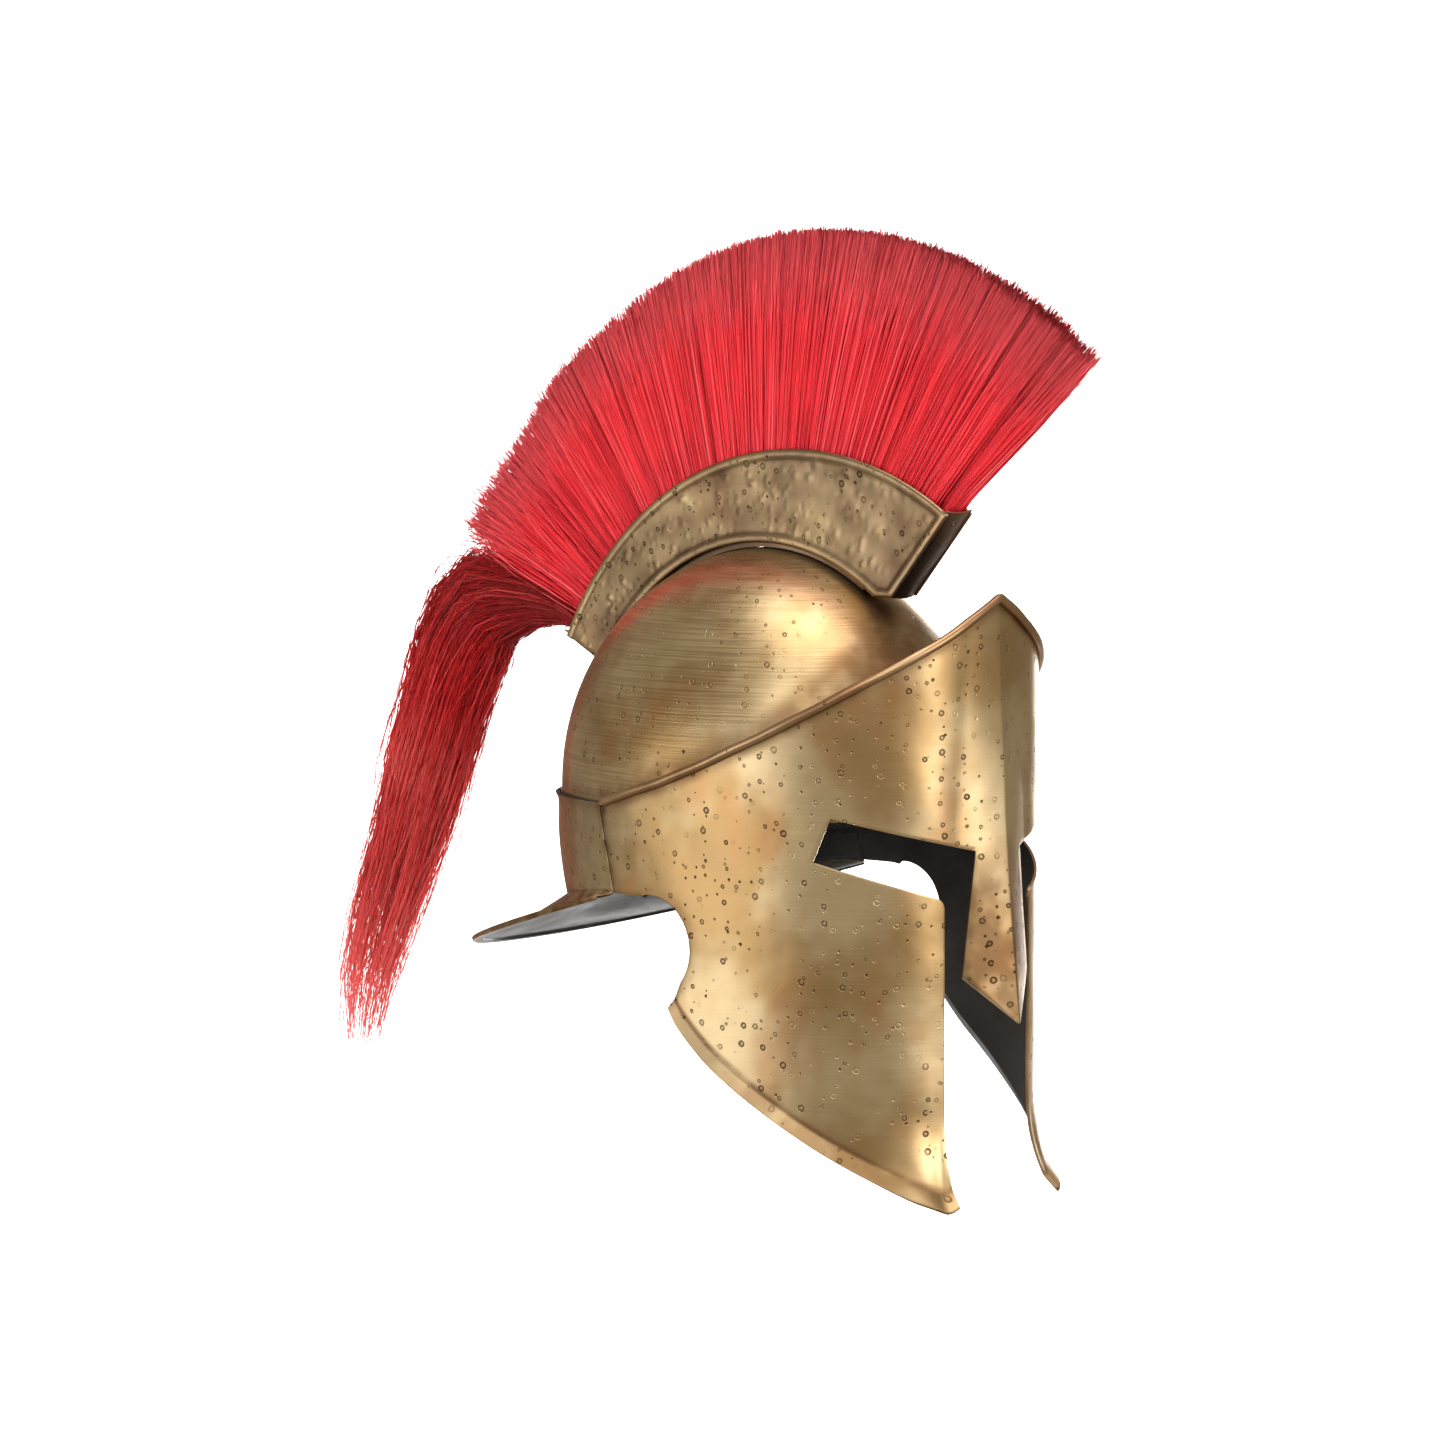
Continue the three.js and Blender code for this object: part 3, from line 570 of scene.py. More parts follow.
def scattered_marks(f, marks, chances):
    """Round marks about scattered points, as deep as the point's random number stands in chances."""
    scale, smallest, spread, depths = marks
    away, pick, size = f.cells(scale, f.sheet())
    radius = f.math("ADD", smallest, f.math("MULTIPLY", size, spread))
    mark = f.ramp(f.math("DIVIDE", away, radius), depths)
    return f.math("MULTIPLY", mark, f.ramp(pick, chances, smooth=False))


def etched_marks(f, share):
    """Etched rings and dots, each 1 to 4 mm across, some of them faint, and gathered in groups."""
    groups = f.ramp(f.noise(f.place(), MARK_GROUPS, 1, 0.5), [(0.36, 0.0), (0.5, 1.0)])
    rings = scattered_marks(f, RINGS, [(1 - share, 0.0), (1 - 0.75 * share, 0.5), (1.0, 1.0)])
    dots = scattered_marks(f, DOTS, [(1 - 0.7 * share, 0.0), (1.0, 1.0)])
    return f.math("MULTIPLY", f.math("MAXIMUM", rings, dots), groups)


def tinted(tone, tint):
    """A tone with each of its parts multiplied by the tint's."""
    return tuple(part * by for part, by in zip(tone, tint))


def aged_brass_and_painted_shade(name, light, dark, brushing, share, plain=False):
    """Aged brass: clouds of two tones, warm patches, brush lines, etched marks, and darkening by the
    patina_and_shade map: dark joints, and on the cap and the face plate painted shade.

    brushing is the strength of the brush lines, and share the part of the places that bear a mark. Plain
    brass has no marks and reads no map of its sheet.
    """
    f = Finish(name)
    clouds = f.noise(f.place(), TONE_CLOUDS, 3, 0.62)
    tone = f.blend(f.ramp(clouds, [(0.36, 0.0), (0.62, 1.0)]), dark, light)
    patches = f.noise(f.place((1, 1.3, 0.8)), WARM_CLOUDS, 2, 0.65)
    tone = f.blend(f.ramp(patches, [(0.5, 0.0), (0.7, 0.45)]), tone, tinted(dark, WARM_TINT))
    lines = f.noise(f.place((3, 3, 260)) if plain else f.sheet((12, 900, 1)), 1, 2, 0.75)
    tone = f.blend(f.ramp(lines, [(0.38, 0.55 * brushing), (0.6, 0.0)]), tone, tinted(dark, LINE_TINT))
    blotches = f.ramp(f.noise(f.place(), SEAM_CLOUDS, 2, 0.7), [(0.3, 0.45), (0.6, 1.0)])
    # The patina_and_shade map, broken by blotches, tints the brass dark: tarnish, and painted shade where a
    # piece's law puts it
    seams_and_shade = f.math("MULTIPLY", f.attribute("patina_and_shade"), blotches)
    tone = f.blend(seams_and_shade, tone, tinted(dark, SEAM_AND_SHADE_TINT))
    marks = 0.0 if plain else etched_marks(f, share)
    tone = f.blend(f.math("MULTIPLY", marks, 0.86), tone, MARK_TONE)
    f.feed(f.shader, "Base Color", tone)
    f.feed(f.shader, "Metallic", 1.0)
    rough = f.ramp(lines, [(0.3, 0.36 - 0.09 * brushing), (0.7, 0.36 + 0.09 * brushing)])
    rough = f.math("ADD", rough, f.math("MULTIPLY", marks, 0.25))
    rough = f.math("ADD", rough, f.math("MULTIPLY", seams_and_shade, 0.15))
    f.feed(f.shader, "Roughness", rough)
    relief = f.bump(lines, 0.0002, brushing)
    relief = f.bump(f.noise(f.place(), DENT_CLOUDS, 1, 0.5), 0.0009, 0.35, relief)
    if not plain:
        relief = f.bump(f.math("SUBTRACT", 1.0, marks), 0.0005, 0.8, relief)
    f.feed(f.shader, "Normal", relief)
    return f.material


def black_paint(name):
    """Half-gloss black paint brushed thinly on sheet, with scuffs that let a little grey through."""
    f = Finish(name)
    clouds = f.noise(f.place(), 30, 3, 0.65)
    tone = f.blend(f.ramp(clouds, [(0.35, 0.0), (0.7, 1.0)]), PAINT_DEEP, PAINT_WORN)
    scuffs = f.ramp(f.noise(f.place((1, 1, 6)), 55, 3, 0.8), [(0.68, 0.0), (0.8, 0.5)])
    f.feed(f.shader, "Base Color", f.blend(scuffs, tone, PAINT_SCUFF))
    f.feed(f.shader, "Roughness", f.ramp(clouds, [(0.3, 0.34), (0.7, 0.52)]))
    f.feed(f.shader, "Specular IOR Level", 0.4)
    f.feed(f.shader, "Normal", f.bump(f.noise(f.place(), 420, 1, 0.6), 0.0002, 0.35))
    return f.material


def dyed_hair_and_painted_light(name, root, body, tip, shade, tip_highlight, strand_highlight):
    """Dyed hair by the strand's own tone, with painted shade and painted highlights by the share of the way
    along it, from the strand map.

    shade and tip_highlight are (share, amount) stops of the painted shade on the body and of the painted
    highlight in the tip's colour, and strand_highlight is the amount of that painted highlight in the
    lightest strand.
    """
    f = Finish(name)
    split = f.node("ShaderNodeSeparateXYZ")
    f.feed(split, 0, f.node("ShaderNodeUVMap", uv_map="strand").outputs[0])
    strand, length = split.outputs[0], split.outputs[1]
    tone = f.blend(f.ramp(strand, [(0.05, 0.0), (0.5, 1.0)], smooth=False), root, body)
    # Painted shade: the body darker along the strand by the shade stops
    tone = f.blend(1.0, tone, f.ramp(length, shade), "MULTIPLY")
    # Painted highlight: the tip's pinkish colour towards the tips and on the lightest strands
    painted_highlight = f.math("MAXIMUM", f.ramp(strand, [(0.74, 0.0), (1.0, strand_highlight)]), f.ramp(length, tip_highlight))
    f.feed(f.shader, "Base Color", f.blend(painted_highlight, tone, tip))
    f.feed(f.shader, "Roughness", f.ramp(strand, [(0.0, 0.6), (1.0, 0.42)]))
    f.feed(f.shader, "Specular IOR Level", 0.25)
    return f.material


# The plate's and the dome's brass also show painted shade and a painted reflection through their
# patina_and_shade maps
brass = aged_brass_and_painted_shade("aged_brass_plate_and_painted_shade", *PLATE_TONES, 0.12, 0.7)
dome_brass = aged_brass_and_painted_shade("brushed_brass_dome_and_painted_shade", *PLATE_TONES, 0.6, 0.5)
holder_brass = aged_brass_and_painted_shade("hammered_brass_holder", *HOLDER_TONES, 0.15, 0.9)
edge_brass = aged_brass_and_painted_shade("worn_brass_edge", *EDGE_TONES, 0.2, 0.1)
dark_brass = aged_brass_and_painted_shade("dark_brass_plate", *DARK_TONES, 0.3, 0.15)
hidden_brass = aged_brass_and_painted_shade("dark_brass_strip", *DARK_TONES, 0.3, 0.0, plain=True)
inner_black = black_paint("black_inner_paint")
# The last three arguments of each: painted shade along the strand, painted highlight towards the tips,
# painted highlight on the lightest strands
brush_red = dyed_hair_and_painted_light("bright_red_hair", (0.42, 0.006, 0.012), (0.95, 0.035, 0.052), (1.0, 0.15, 0.17),
                      [(0.2, 0.8), (0.5, 1.0)], [(0.6, 0.0), (1.0, 0.65)], 0.75)
tail_red = dyed_hair_and_painted_light("deep_red_hair", (0.18, 0.002, 0.003), (0.62, 0.010, 0.012), (1.0, 0.17, 0.15),
                     [(0.15, 0.4), (0.75, 1.0)], [(0.7, 0.0), (1.0, 0.8)], 0.35)


def set_patina_and_shade(piece, amount):
    """Stores how dark the patina_and_shade map is at each point: tarnish, and on some pieces painted shade.
    """
    layer = piece.data.attributes.new("patina_and_shade", "FLOAT", "POINT")
    layer.data.foreach_set("value", np.clip(np.asarray(amount, float).ravel(), 0, 1))


def patina_and_shade_by_place(piece, law):
    """Stores the patina_and_shade map from a law of place in millimetres about the rim's centre."""
    flat = np.empty(len(piece.data.vertices) * 3)
    piece.data.vertices.foreach_get("co", flat)
    set_patina_and_shade(piece, law(flat.reshape(-1, 3) / MM + (0, 0, SEAT_HEIGHT)))


def set_slots(piece, slots):
    """Gives each face its slot among the piece's materials."""
    piece.data.polygons.foreach_set("material_index", np.asarray(slots).astype(np.int32))


def make_skull_cap():
    """Half an ellipsoid by turn and rise, with an upright skirt below the rim that ends in black paint."""
    turn = np.linspace(0, 2 * np.pi, CAP_COLUMNS) + np.pi / 2
    rise = np.concatenate([[-0.2, -0.1], np.linspace(0, np.pi / 2, CAP_ROWS - 2)])
    turn, rise = np.meshgrid(turn, rise, indexing="ij")
    skirt = rise < 0
    across = np.cos(np.maximum(rise, 0))
    drop = np.interp(rise, [-0.2, -0.1, 0], [-CAP_SKIRT, CAP_PAINT_LINE, 0])
    height = np.where(skirt, drop, CAP_HEIGHT * np.sin(rise))
    wave = 1 + 0.4 * beaten(np.sin(turn) * 70, height) / CAP_HALF_LENGTH * ~skirt
    side = CAP_HALF_WIDTH * across * wave * np.cos(turn)
    points = np.stack([side, CAP_HALF_LENGTH * across * wave * np.sin(turn), height], -1)
    piece = new_piece("skull_cap_dome", points, [grid_faces(CAP_COLUMNS, CAP_ROWS)],
                      [dome_brass, inner_black], sheet=(turn * CAP_SHEET[0], rise * CAP_SHEET[1]))
    set_slots(piece, np.tile(np.arange(CAP_ROWS - 1) == 0, CAP_COLUMNS - 1))
    weld(piece)
    # Painted shade over the brow bead, and a painted reflection of the red crest with its shade, darker
    # towards the top under the holder
    patina_and_shade_by_place(piece, lambda p: 0.7 * brow_shade(p) + 0.45 * ease(p[:, 2], 100, 124))
    add_wall(piece, rim_slot=1)
    place(piece, "helmet_brass", "skull_cap")


def brow_shade(points):
    """Painted shade on the cap just over the brow bead: 1 up to 2 mm above its middle and 0 from 16 mm on.
    """
    above = points[:, 2] - brow_line(girth_of(points))
    return (1 - ease(above, 2, 16)) * (points[:, 2] > 0)


def walk(corners, cells):
    """Points along a row of corners, with a count of equal cells on each stretch."""
    ends = zip(corners, corners[1:], cells)
    return np.concatenate([*(np.linspace(a, b, n, endpoint=False) for a, b, n in ends), [corners[-1]]])


def patch(bottom, top, left, right):
    """Grid inside four edges: the edges' straight blends both ways, less the blend of the corners."""
    u = np.linspace(0, 1, len(bottom))[:, None, None]
    v = np.linspace(0, 1, len(left))[None, :, None]
    across = (1 - v) * bottom[:, None] + v * top[:, None]
    upward = (1 - u) * left[None] + u * right[None]
    low = (1 - u) * bottom[0] + u * bottom[-1]
    high = (1 - u) * top[0] + u * top[-1]
    return across + upward - (1 - v) * low - v * high


def upright_patch(bottom, top, rows):
    """Patch between a lower and an upper edge, with straight sides of equal cells."""
    return patch(bottom, top, walk([bottom[0], top[0]], [rows]), walk([bottom[-1], top[-1]], [rows]))


def split_lip(cheek):
    """The cheek's grid with each of its lowest rows split, so that the lip bends smoothly."""
    low, high = cheek[:, :LIP_ROWS], cheek[:, 1 : LIP_ROWS + 1]
    lip = [low * (1 - share) + high * share for share in np.arange(LIP_SPLIT) / LIP_SPLIT]
    lip = np.stack(lip, axis=2).reshape(len(cheek), -1, 2)
    return np.concatenate([lip, cheek[:, LIP_ROWS:]], axis=1)


def seam_girth(height):
    """Girth of the weld seam between the plate and the band."""
    (top_girth, top), (low_girth, low) = SEAM_TOP, SEAM_BOTTOM
    return top_girth + (height - top) * (top_girth - low_girth) / (top - low)


def plate_patches():
    """Near half of the face plate, flat in girth and height: brow, nasal, temple and cheek."""
    seam_middle = (seam_girth(SEAM_MIDDLE), SEAM_MIDDLE)
    corner_height = float(brow_edge(np.array(SEAM_TOP[0] - BROW_END)))
    middle = [(share * EYE_INNER_TOP[0], EYE_INNER_TOP[1]) for share in MIDDLE_COLUMNS[:-1]]
    brow_low = np.concatenate([middle, walk([EYE_INNER_TOP, EYE_OUTER_TOP, seam_middle], BROW_CELLS)])
    high_girth = brow_low[:, 0] * seam_girth(corner_height) / seam_middle[0]
    brow_high = np.stack([high_girth, brow_edge(high_girth)], -1)
    brow_high[-1, 1] = corner_height
    brow = upright_patch(brow_low, brow_high, BROW_ROWS)

    nasal_edge = walk([NASAL_TIP, NASAL_CORNER, EYE_INNER_TOP], NASAL_CELLS)
    share = np.array(MIDDLE_COLUMNS)[:, None]
    nasal = np.stack([share * nasal_edge[:, 0], 0 * share + nasal_edge[:, 1]], -1)

    arc_start = math.acos((LOWER_EDGE - THROAT[1]) / THROAT_RADIUS)
    arc = np.linspace(arc_start, -math.radians(THROAT_LEAVE), THROAT_POINTS)
    throat = THROAT + THROAT_RADIUS * np.stack([np.sin(arc), np.cos(arc)], -1)
    temple_low = walk([EYE_OUTER_BOTTOM, throat[0], (seam_girth(LOWER_EDGE), LOWER_EDGE)], TEMPLE_CELLS)
    temple_high = walk([EYE_OUTER_TOP, seam_middle], BROW_CELLS[1:])
    temple = upright_patch(temple_low, temple_high, TEMPLE_ROWS)

    rear = np.concatenate([throat, walk([throat[-1], CHEEK_REAR], [CHEEK_REAR_CELLS])[1:]])[::-1]
    corner_drop = EYE_CORNER_RADIUS * EYE_CORNER_DROP
    centre = np.array([CHEEK_FRONT + EYE_CORNER_RADIUS, EYE_INNER_BOTTOM[1] - corner_drop])
    bend = np.linspace(math.pi, math.pi - math.radians(EYE_CORNER_TURN), EYE_CORNER_POINTS)
    corner = centre + EYE_CORNER_RADIUS * np.stack([np.cos(bend), np.sin(bend)], -1)
    half = EYE_CORNER_POINTS // 2
    front = walk([(CHEEK_FRONT, CHEEK_EDGE[0][1]), corner[0]], [len(rear) - half - 1])
    front = np.concatenate([front, corner[1 : half + 1]])
    slot_low = walk([corner[-1], EYE_OUTER_BOTTOM, throat[0]], [SLOT_CELLS, TEMPLE_CELLS[0]])
    slot_low = np.concatenate([corner[half:], slot_low[1:]])
    low_girth = np.linspace(CHEEK_FRONT, CHEEK_REAR[0], len(slot_low))
    cheek_low = np.stack([low_girth, cheek_edge(low_girth)], -1)
    cheek_low[-1] = CHEEK_REAR
    return [brow, nasal, temple, split_lip(patch(cheek_low, slot_low, front, rear))]


def make_face_plate():
    """The four flat patches and their mirror images, bent round the ring."""
    points, faces, maps, first = [], [], [], 0
    for flat in plate_patches():
        for side in (1, -1):
            bent = plate_surface(side * flat[..., 0], flat[..., 1])
            points.append(bent.reshape(-1, 3))
            maps.append(flat.reshape(-1, 2) * (side, 1))
            faces.append(grid_faces(*flat.shape[:2], first=first, flip=side < 0))
            first += bent.shape[0] * bent.shape[1]
    piece = new_piece("face_plate_sheet", np.concatenate(points), faces, [brass, inner_black, edge_brass],
                      sheet=np.concatenate(maps).T)
    weld(piece)
    patina_and_shade_by_place(piece, plate_patina_and_shade)
    add_wall(piece)
    soften(piece)
    place(piece, "helmet_brass", "face_plate")


def plate_patina_and_shade(points):
    """Painted shadow under the bead and a painted shade line in the crease above the lip, with dark
    tarnish on the lip, at the weld seam, round the throat and down the nasal.
    """
    girth = girth_of(points)
    height = points[:, 2]
    bead_shadow = 1 - ease(brow_edge(girth) - height, 0, 7)
    rise = height - cheek_edge(girth)
    # Painted shade line in the crease just above the lip's bend, and darker tarnish on the lip itself
    lip = np.maximum(1 - ease(np.abs(rise - 8), 0, 4), 0.6 * (rise < 8)) * (height < -95)
    from_seam = seam_girth(height) - girth
    seam = 0.6 * (1 - ease(from_seam, 1, 9)) + 0.6 * (1 - ease(from_seam, 0.8, 2.4))
    throat = 1 - ease(np.hypot(girth - THROAT[0], height - THROAT[1]) - THROAT_RADIUS, 0, 8)
    nasal = (girth < 32) * ease(-height, 8, 45)
    return 0.8 * bead_shadow + 0.8 * lip + seam * (height > -60) + 0.4 * throat + 0.75 * nasal


def make_brow_bead():
    """Round rod along the brow line, with tapered ends and slow waves in its height, place and radius.

    Its sections are circles across the path, and each end is closed by a flat face.
    """
    girth = np.linspace(-BEAD_HALF_GIRTH, BEAD_HALF_GIRTH, BEAD_SECTIONS)
    from_end = BEAD_HALF_GIRTH - np.abs(girth)
    height = brow_line(girth) + 0.25 * np.sin(girth / 7) * np.sin(girth / 19)
    path = ring_surface(girth, height, BEAD_OUT + 0.1 * np.sin(girth / 11))
    radius = BEAD_RADIUS * (0.35 + 0.65 * ease(from_end, -1, 4)) * (1 + 0.03 * np.sin(girth / 5))
    ahead = unit(np.gradient(path, axis=0))
    outward = unit(np.stack([ahead[:, 1], -ahead[:, 0], 0 * ahead[:, 0]], -1))
    upward = np.cross(outward, ahead)
    turn = np.linspace(0, 2 * np.pi, BEAD_SIDES, endpoint=False)
    ring = np.cos(turn)[:, None] * outward[:, None] + np.sin(turn)[:, None] * upward[:, None]
    points = path[:, None] + radius[:, None, None] * ring
    corners = np.arange(BEAD_SIDES)[None]
    caps = [corners[:, ::-1], (BEAD_SECTIONS - 1) * BEAD_SIDES + corners]
    run = np.arange(BEAD_SECTIONS)[:, None] * np.linalg.norm(path[1] - path[0]) + 0 * turn
    sides = grid_faces(BEAD_SECTIONS, BEAD_SIDES, round_rows=True)
    piece = new_piece("brow_bead_roll", points, [sides, *caps], [edge_brass],
                      sheet=(run, 0 * run + turn * BEAD_RADIUS))
    weld(piece, closed=True)
    patina_and_shade_by_place(piece, lambda p: 0.25 + 0 * p[:, 0])
    place(piece, "helmet_brass", "brow_bead")


def band_low(girth):
    """Height of the nape band's lower edge."""
    behind = np.clip((np.abs(girth) - SEAM_BOTTOM[0]) / (HALF_GIRTH - SEAM_BOTTOM[0]), 0, 1)
    return LOWER_EDGE + (BAND_REAR_BOTTOM - LOWER_EDGE) * ease(behind, 0, 0.75)


def band_top(girth):
    """Height of the nape band's upper edge."""
    behind = np.clip((np.abs(girth) - SEAM_TOP[0]) / (HALF_GIRTH - SEAM_TOP[0]), 0, 1)
    return BAND_TOP - BAND_TOP_DROP * behind


def band_out(girth, height):
    """How far the band stands out: a small lip at its top, and a tuck towards the neck below."""
    behind = ease(np.abs(girth), SEAM_BOTTOM[0], SEAM_BOTTOM[0] + BAND_SPREAD)
    drop = np.maximum(0, BAND_TUCK_START - height) / (BAND_TUCK_START - BAND_REAR_BOTTOM)
    lip = np.maximum(0, 1 - (band_top(girth) - height) / BAND_LIP_WIDTH) ** 2
    return behind * (BAND_LIP * lip - BAND_TUCK * drop**BAND_TUCK_POWER)


def make_nape_band():
    """Sheet over the ring from seam to seam, by the share round it and the share up it."""
    around, up = shares(BAND_COLUMNS, BAND_ROWS)
    height = LOWER_EDGE + (BAND_TOP - LOWER_EDGE) * up
    start = seam_girth(height) + SEAM_GAP
    girth = start + (2 * HALF_GIRTH - 2 * start) * around
    near = np.minimum(girth, 2 * HALF_GIRTH - girth)
    height = band_low(near) + (band_top(near) - band_low(near)) * up
    points = ring_surface(girth, height, band_out(near, height) + 0.6 * beaten(girth, height))
    piece = new_piece("nape_band_sheet", points, [grid_faces(BAND_COLUMNS, BAND_ROWS)],
                      [brass, inner_black, edge_brass], sheet=(girth, height))
    at_seam = 0.8 * (1 - ease(near - seam_girth(height), 1.2, 3.2))
    foot = 0.5 * (1 - ease(height + 61, 0, 14))
    set_patina_and_shade(piece, 0.35 + foot + 0.4 * ease(height, -12, -3) + at_seam)
    add_wall(piece, rim_slot=1)
    soften(piece)
    place(piece, "helmet_brass", "nape_band")


def guard_profile():
    """Section of the guard: share of the way out and depth under the upper face, row by row.

    It runs out on top, round the rim, back along the folded hem and home below. The third value counts the
    rows of the top and the rim.
    """
    upper = np.linspace(0, 0.97, 22)
    rim = np.array([0.985, 1.0, 1.005, 1.0, 0.985])
    rim_depth = np.array([0.05, 0.3, 1.3, 2.4, 2.9])
    hem = np.linspace(0.97, 0.9, 6)
    lower = np.linspace(0.88, 0, 18)
    share = np.concatenate([upper, rim, hem, [0.893], lower])
    depth = np.concatenate([0 * upper, rim_depth, HEM_DEPTH + 0 * hem, [HEM_END], WALL + 0 * lower])
    return share, depth, len(upper) + len(rim)


def guard_surface(a, b):
    """The guard's upper face by the share round it and the share out from the band, with a slight sag."""
    girth = GUARD_START + (2 * HALF_GIRTH - 2 * GUARD_START) * a
    near = np.minimum(girth, 2 * HALF_GIRTH - girth)
    low = band_low(near) - GUARD_GAP
    top = ring_surface(girth, low, band_out(near, low))
    turn = np.radians(GUARD_TURN) * (2 * a - 1)
    behind = GUARD_CENTRE + (GUARD_REAR - GUARD_CENTRE) * np.cos(turn) ** (2 / GUARD_POWER)
    aside = -GUARD_HALF_WIDTH * np.sign(turn) * np.abs(np.sin(turn)) ** (2 / GUARD_POWER)
    rim = np.stack([aside, behind, GUARD_RIM_HEIGHT - GUARD_SLOPE * (behind - GUARD_CENTRE)], -1)
    point = top + (rim - top) * b[..., None]
    width = np.minimum(np.linalg.norm(rim - top, axis=-1) / GUARD_SAG_WIDTH, 1)
    point[..., 2] -= GUARD_SAG * width * np.sin(np.pi * np.clip(b, 0, 1))
    return point


def make_neck_guard():
    """The guard's closed section carried round it, with its depth measured square to the upper face."""
    share, depth, outer_rows = guard_profile()
    rows = len(share)
    across, row = np.meshgrid(np.linspace(0, 1, GUARD_COLUMNS), np.arange(rows), indexing="ij")
    b = share[row]
    step = 1e-3
    after, before = np.clip(across + step, 0, 1), np.clip(across - step, 0, 1)
    tangent_a = guard_surface(after, b) - guard_surface(before, b)
    tangent_b = guard_surface(across, b + step) - guard_surface(across, b - step)
    points = guard_surface(across, b) - unit(np.cross(tangent_b, tangent_a)) * depth[row][..., None]
    corners = np.arange(rows)[None]
    caps = [corners, (GUARD_COLUMNS - 1) * rows + corners[:, ::-1]]
    sides = grid_faces(GUARD_COLUMNS, rows, round_rows=True)
    piece = new_piece("neck_guard_brim", points, [sides, *caps], [brass, inner_black],
                      sheet=(across * GUARD_SHEET[0], b * GUARD_SHEET[1]))
    patina_and_shade_by_place(piece, lambda p: 0.55 + 0.45 * ease(np.abs(p[:, 0]), 70, 95))
    inner = (np.arange(rows) >= outer_rows) & (np.arange(rows) < rows - 1)
    set_slots(piece, [*np.tile(inner, GUARD_COLUMNS - 1), 0, 0])
    weld(piece, closed=True)
    place(piece, "helmet_brass", "neck_guard")


def holder_bottom(angle):
    """Lower edge of the crest holder: an arc over the cap, cut level at the front."""
    level = HOLDER_FRONT_FLOOR / np.sin(angle)
    return np.where(angle < math.pi / 2, np.maximum(HOLDER_BOTTOM, level), HOLDER_BOTTOM)


def holder_top(angle):
    """Upper edge of the crest holder: an arc about a point ahead of and below the rim's centre."""
    toward = HOLDER_TOP_AHEAD * np.cos(angle) + HOLDER_TOP_HEIGHT * np.sin(angle)
    centre = HOLDER_TOP_AHEAD**2 + HOLDER_TOP_HEIGHT**2
    return toward + np.sqrt(HOLDER_TOP_RADIUS**2 - centre + toward**2)


def crest_point(side, angle, radius):
    """Point by distance aside, angle and radius in the crest's plane."""
    return np.stack([side + 0 * angle, -radius * np.cos(angle), radius * np.sin(angle)], -1)


def scattered_bumps(x, y, seed):
    """Sum of small round hills at seeded places over a strip."""
    rng = np.random.default_rng(seed)
    centres = rng.uniform([x.min(), y.min()], [x.max(), y.max()], (BUMPS, 2))
    tall = rng.uniform(-0.6, 1.0, BUMPS)
    wide = BUMP_WIDTH * rng.uniform(0.6, 1.3, BUMPS)
    away = (x[..., None] - centres[:, 0]) ** 2 + (y[..., None] - centres[:, 1]) ** 2
    return (tall * np.exp(-away / wide**2)).sum(-1)


def make_holder_side(name, side):
    """Arched side plate with a raised border and a panel beaten full of small bumps."""
    share, up = shares(SIDE_COLUMNS, SIDE_ROWS)
    angle = np.radians(HOLDER_FRONT) + np.radians(HOLDER_REAR - HOLDER_FRONT) * share
    bottom, top = holder_bottom(angle), holder_top(angle)
    radius = bottom + (top - bottom) * up
    front = radius * (angle - np.radians(HOLDER_FRONT))
    edge = np.minimum(np.minimum(radius - bottom, top - radius), front)
    panel = ease(edge, PANEL_BORDER - 1.5, PANEL_BORDER + 0.5)
    roll = np.exp(-(((edge - PANEL_BORDER + 2.2) / 1.6) ** 2)) * BORDER_ROLL
    bumps = scattered_bumps(angle * SIDE_GIRTH, radius, 3 + (side > 0))
    out = HOLDER_HALF_WIDTH - PANEL_STEP * panel + roll + BUMP_HEIGHT * bumps * (0.2 + 0.75 * panel)
    out = out - 0.4 * ease(1.2 - edge, 0, 1.2)
    faces = grid_faces(SIDE_COLUMNS, SIDE_ROWS, flip=side < 0)
    points = crest_point(side * out, angle, radius)
    piece = new_piece(f"crest_side_{name}", points, [faces],
                      [holder_brass, dark_brass, edge_brass], sheet=(angle * SIDE_GIRTH, radius))
    crease = 0.45 * (1 - ease(np.abs(edge - PANEL_BORDER), 0, 2.5)) + 0.3 * (1 - ease(edge, 0, 1.5))
    greyed = 0.32 * panel * (1 + np.sin(angle * 9 + radius / 7) * np.sin(radius / 5 - angle * 14))
    set_patina_and_shade(piece, crease + greyed)
    add_wall(piece, thickness=HOLDER_WALL)
    place(piece, "holder_brass", f"crest_holder_{name}")


def make_end_plate(name, degrees, bottom, top, lean):
    """Flat end plate across the channel, slightly dished, with its side edges turned back."""
    across, up = shares(END_COLUMNS, END_ROWS, first=-1)
    angle = math.radians(degrees)
    radius = bottom + (top - bottom) * up
    dish = 0.35 + 1.2 * np.abs(across) ** 6 - 0.25 * np.cos(np.pi * across) + 0.15 * np.sin(up * 9)
    tangent = np.array([0, math.sin(angle), math.cos(angle)])
    flat = crest_point(HOLDER_HALF_WIDTH * across, angle + 0 * radius, radius)
    faces = grid_faces(END_COLUMNS, END_ROWS, flip=lean > 0)
    points = flat - (lean * dish)[..., None] * tangent
    piece = new_piece(f"crest_{name}_plate", points, [faces],
                      [dark_brass, dark_brass, edge_brass], sheet=(HOLDER_HALF_WIDTH * across, radius))
    set_patina_and_shade(piece, 0.2 + 0.5 * np.abs(across) ** 4)
    add_wall(piece, thickness=END_WALL)
    soften(piece, 0.3)
    place(piece, "dark_brass", f"crest_holder_{name}")


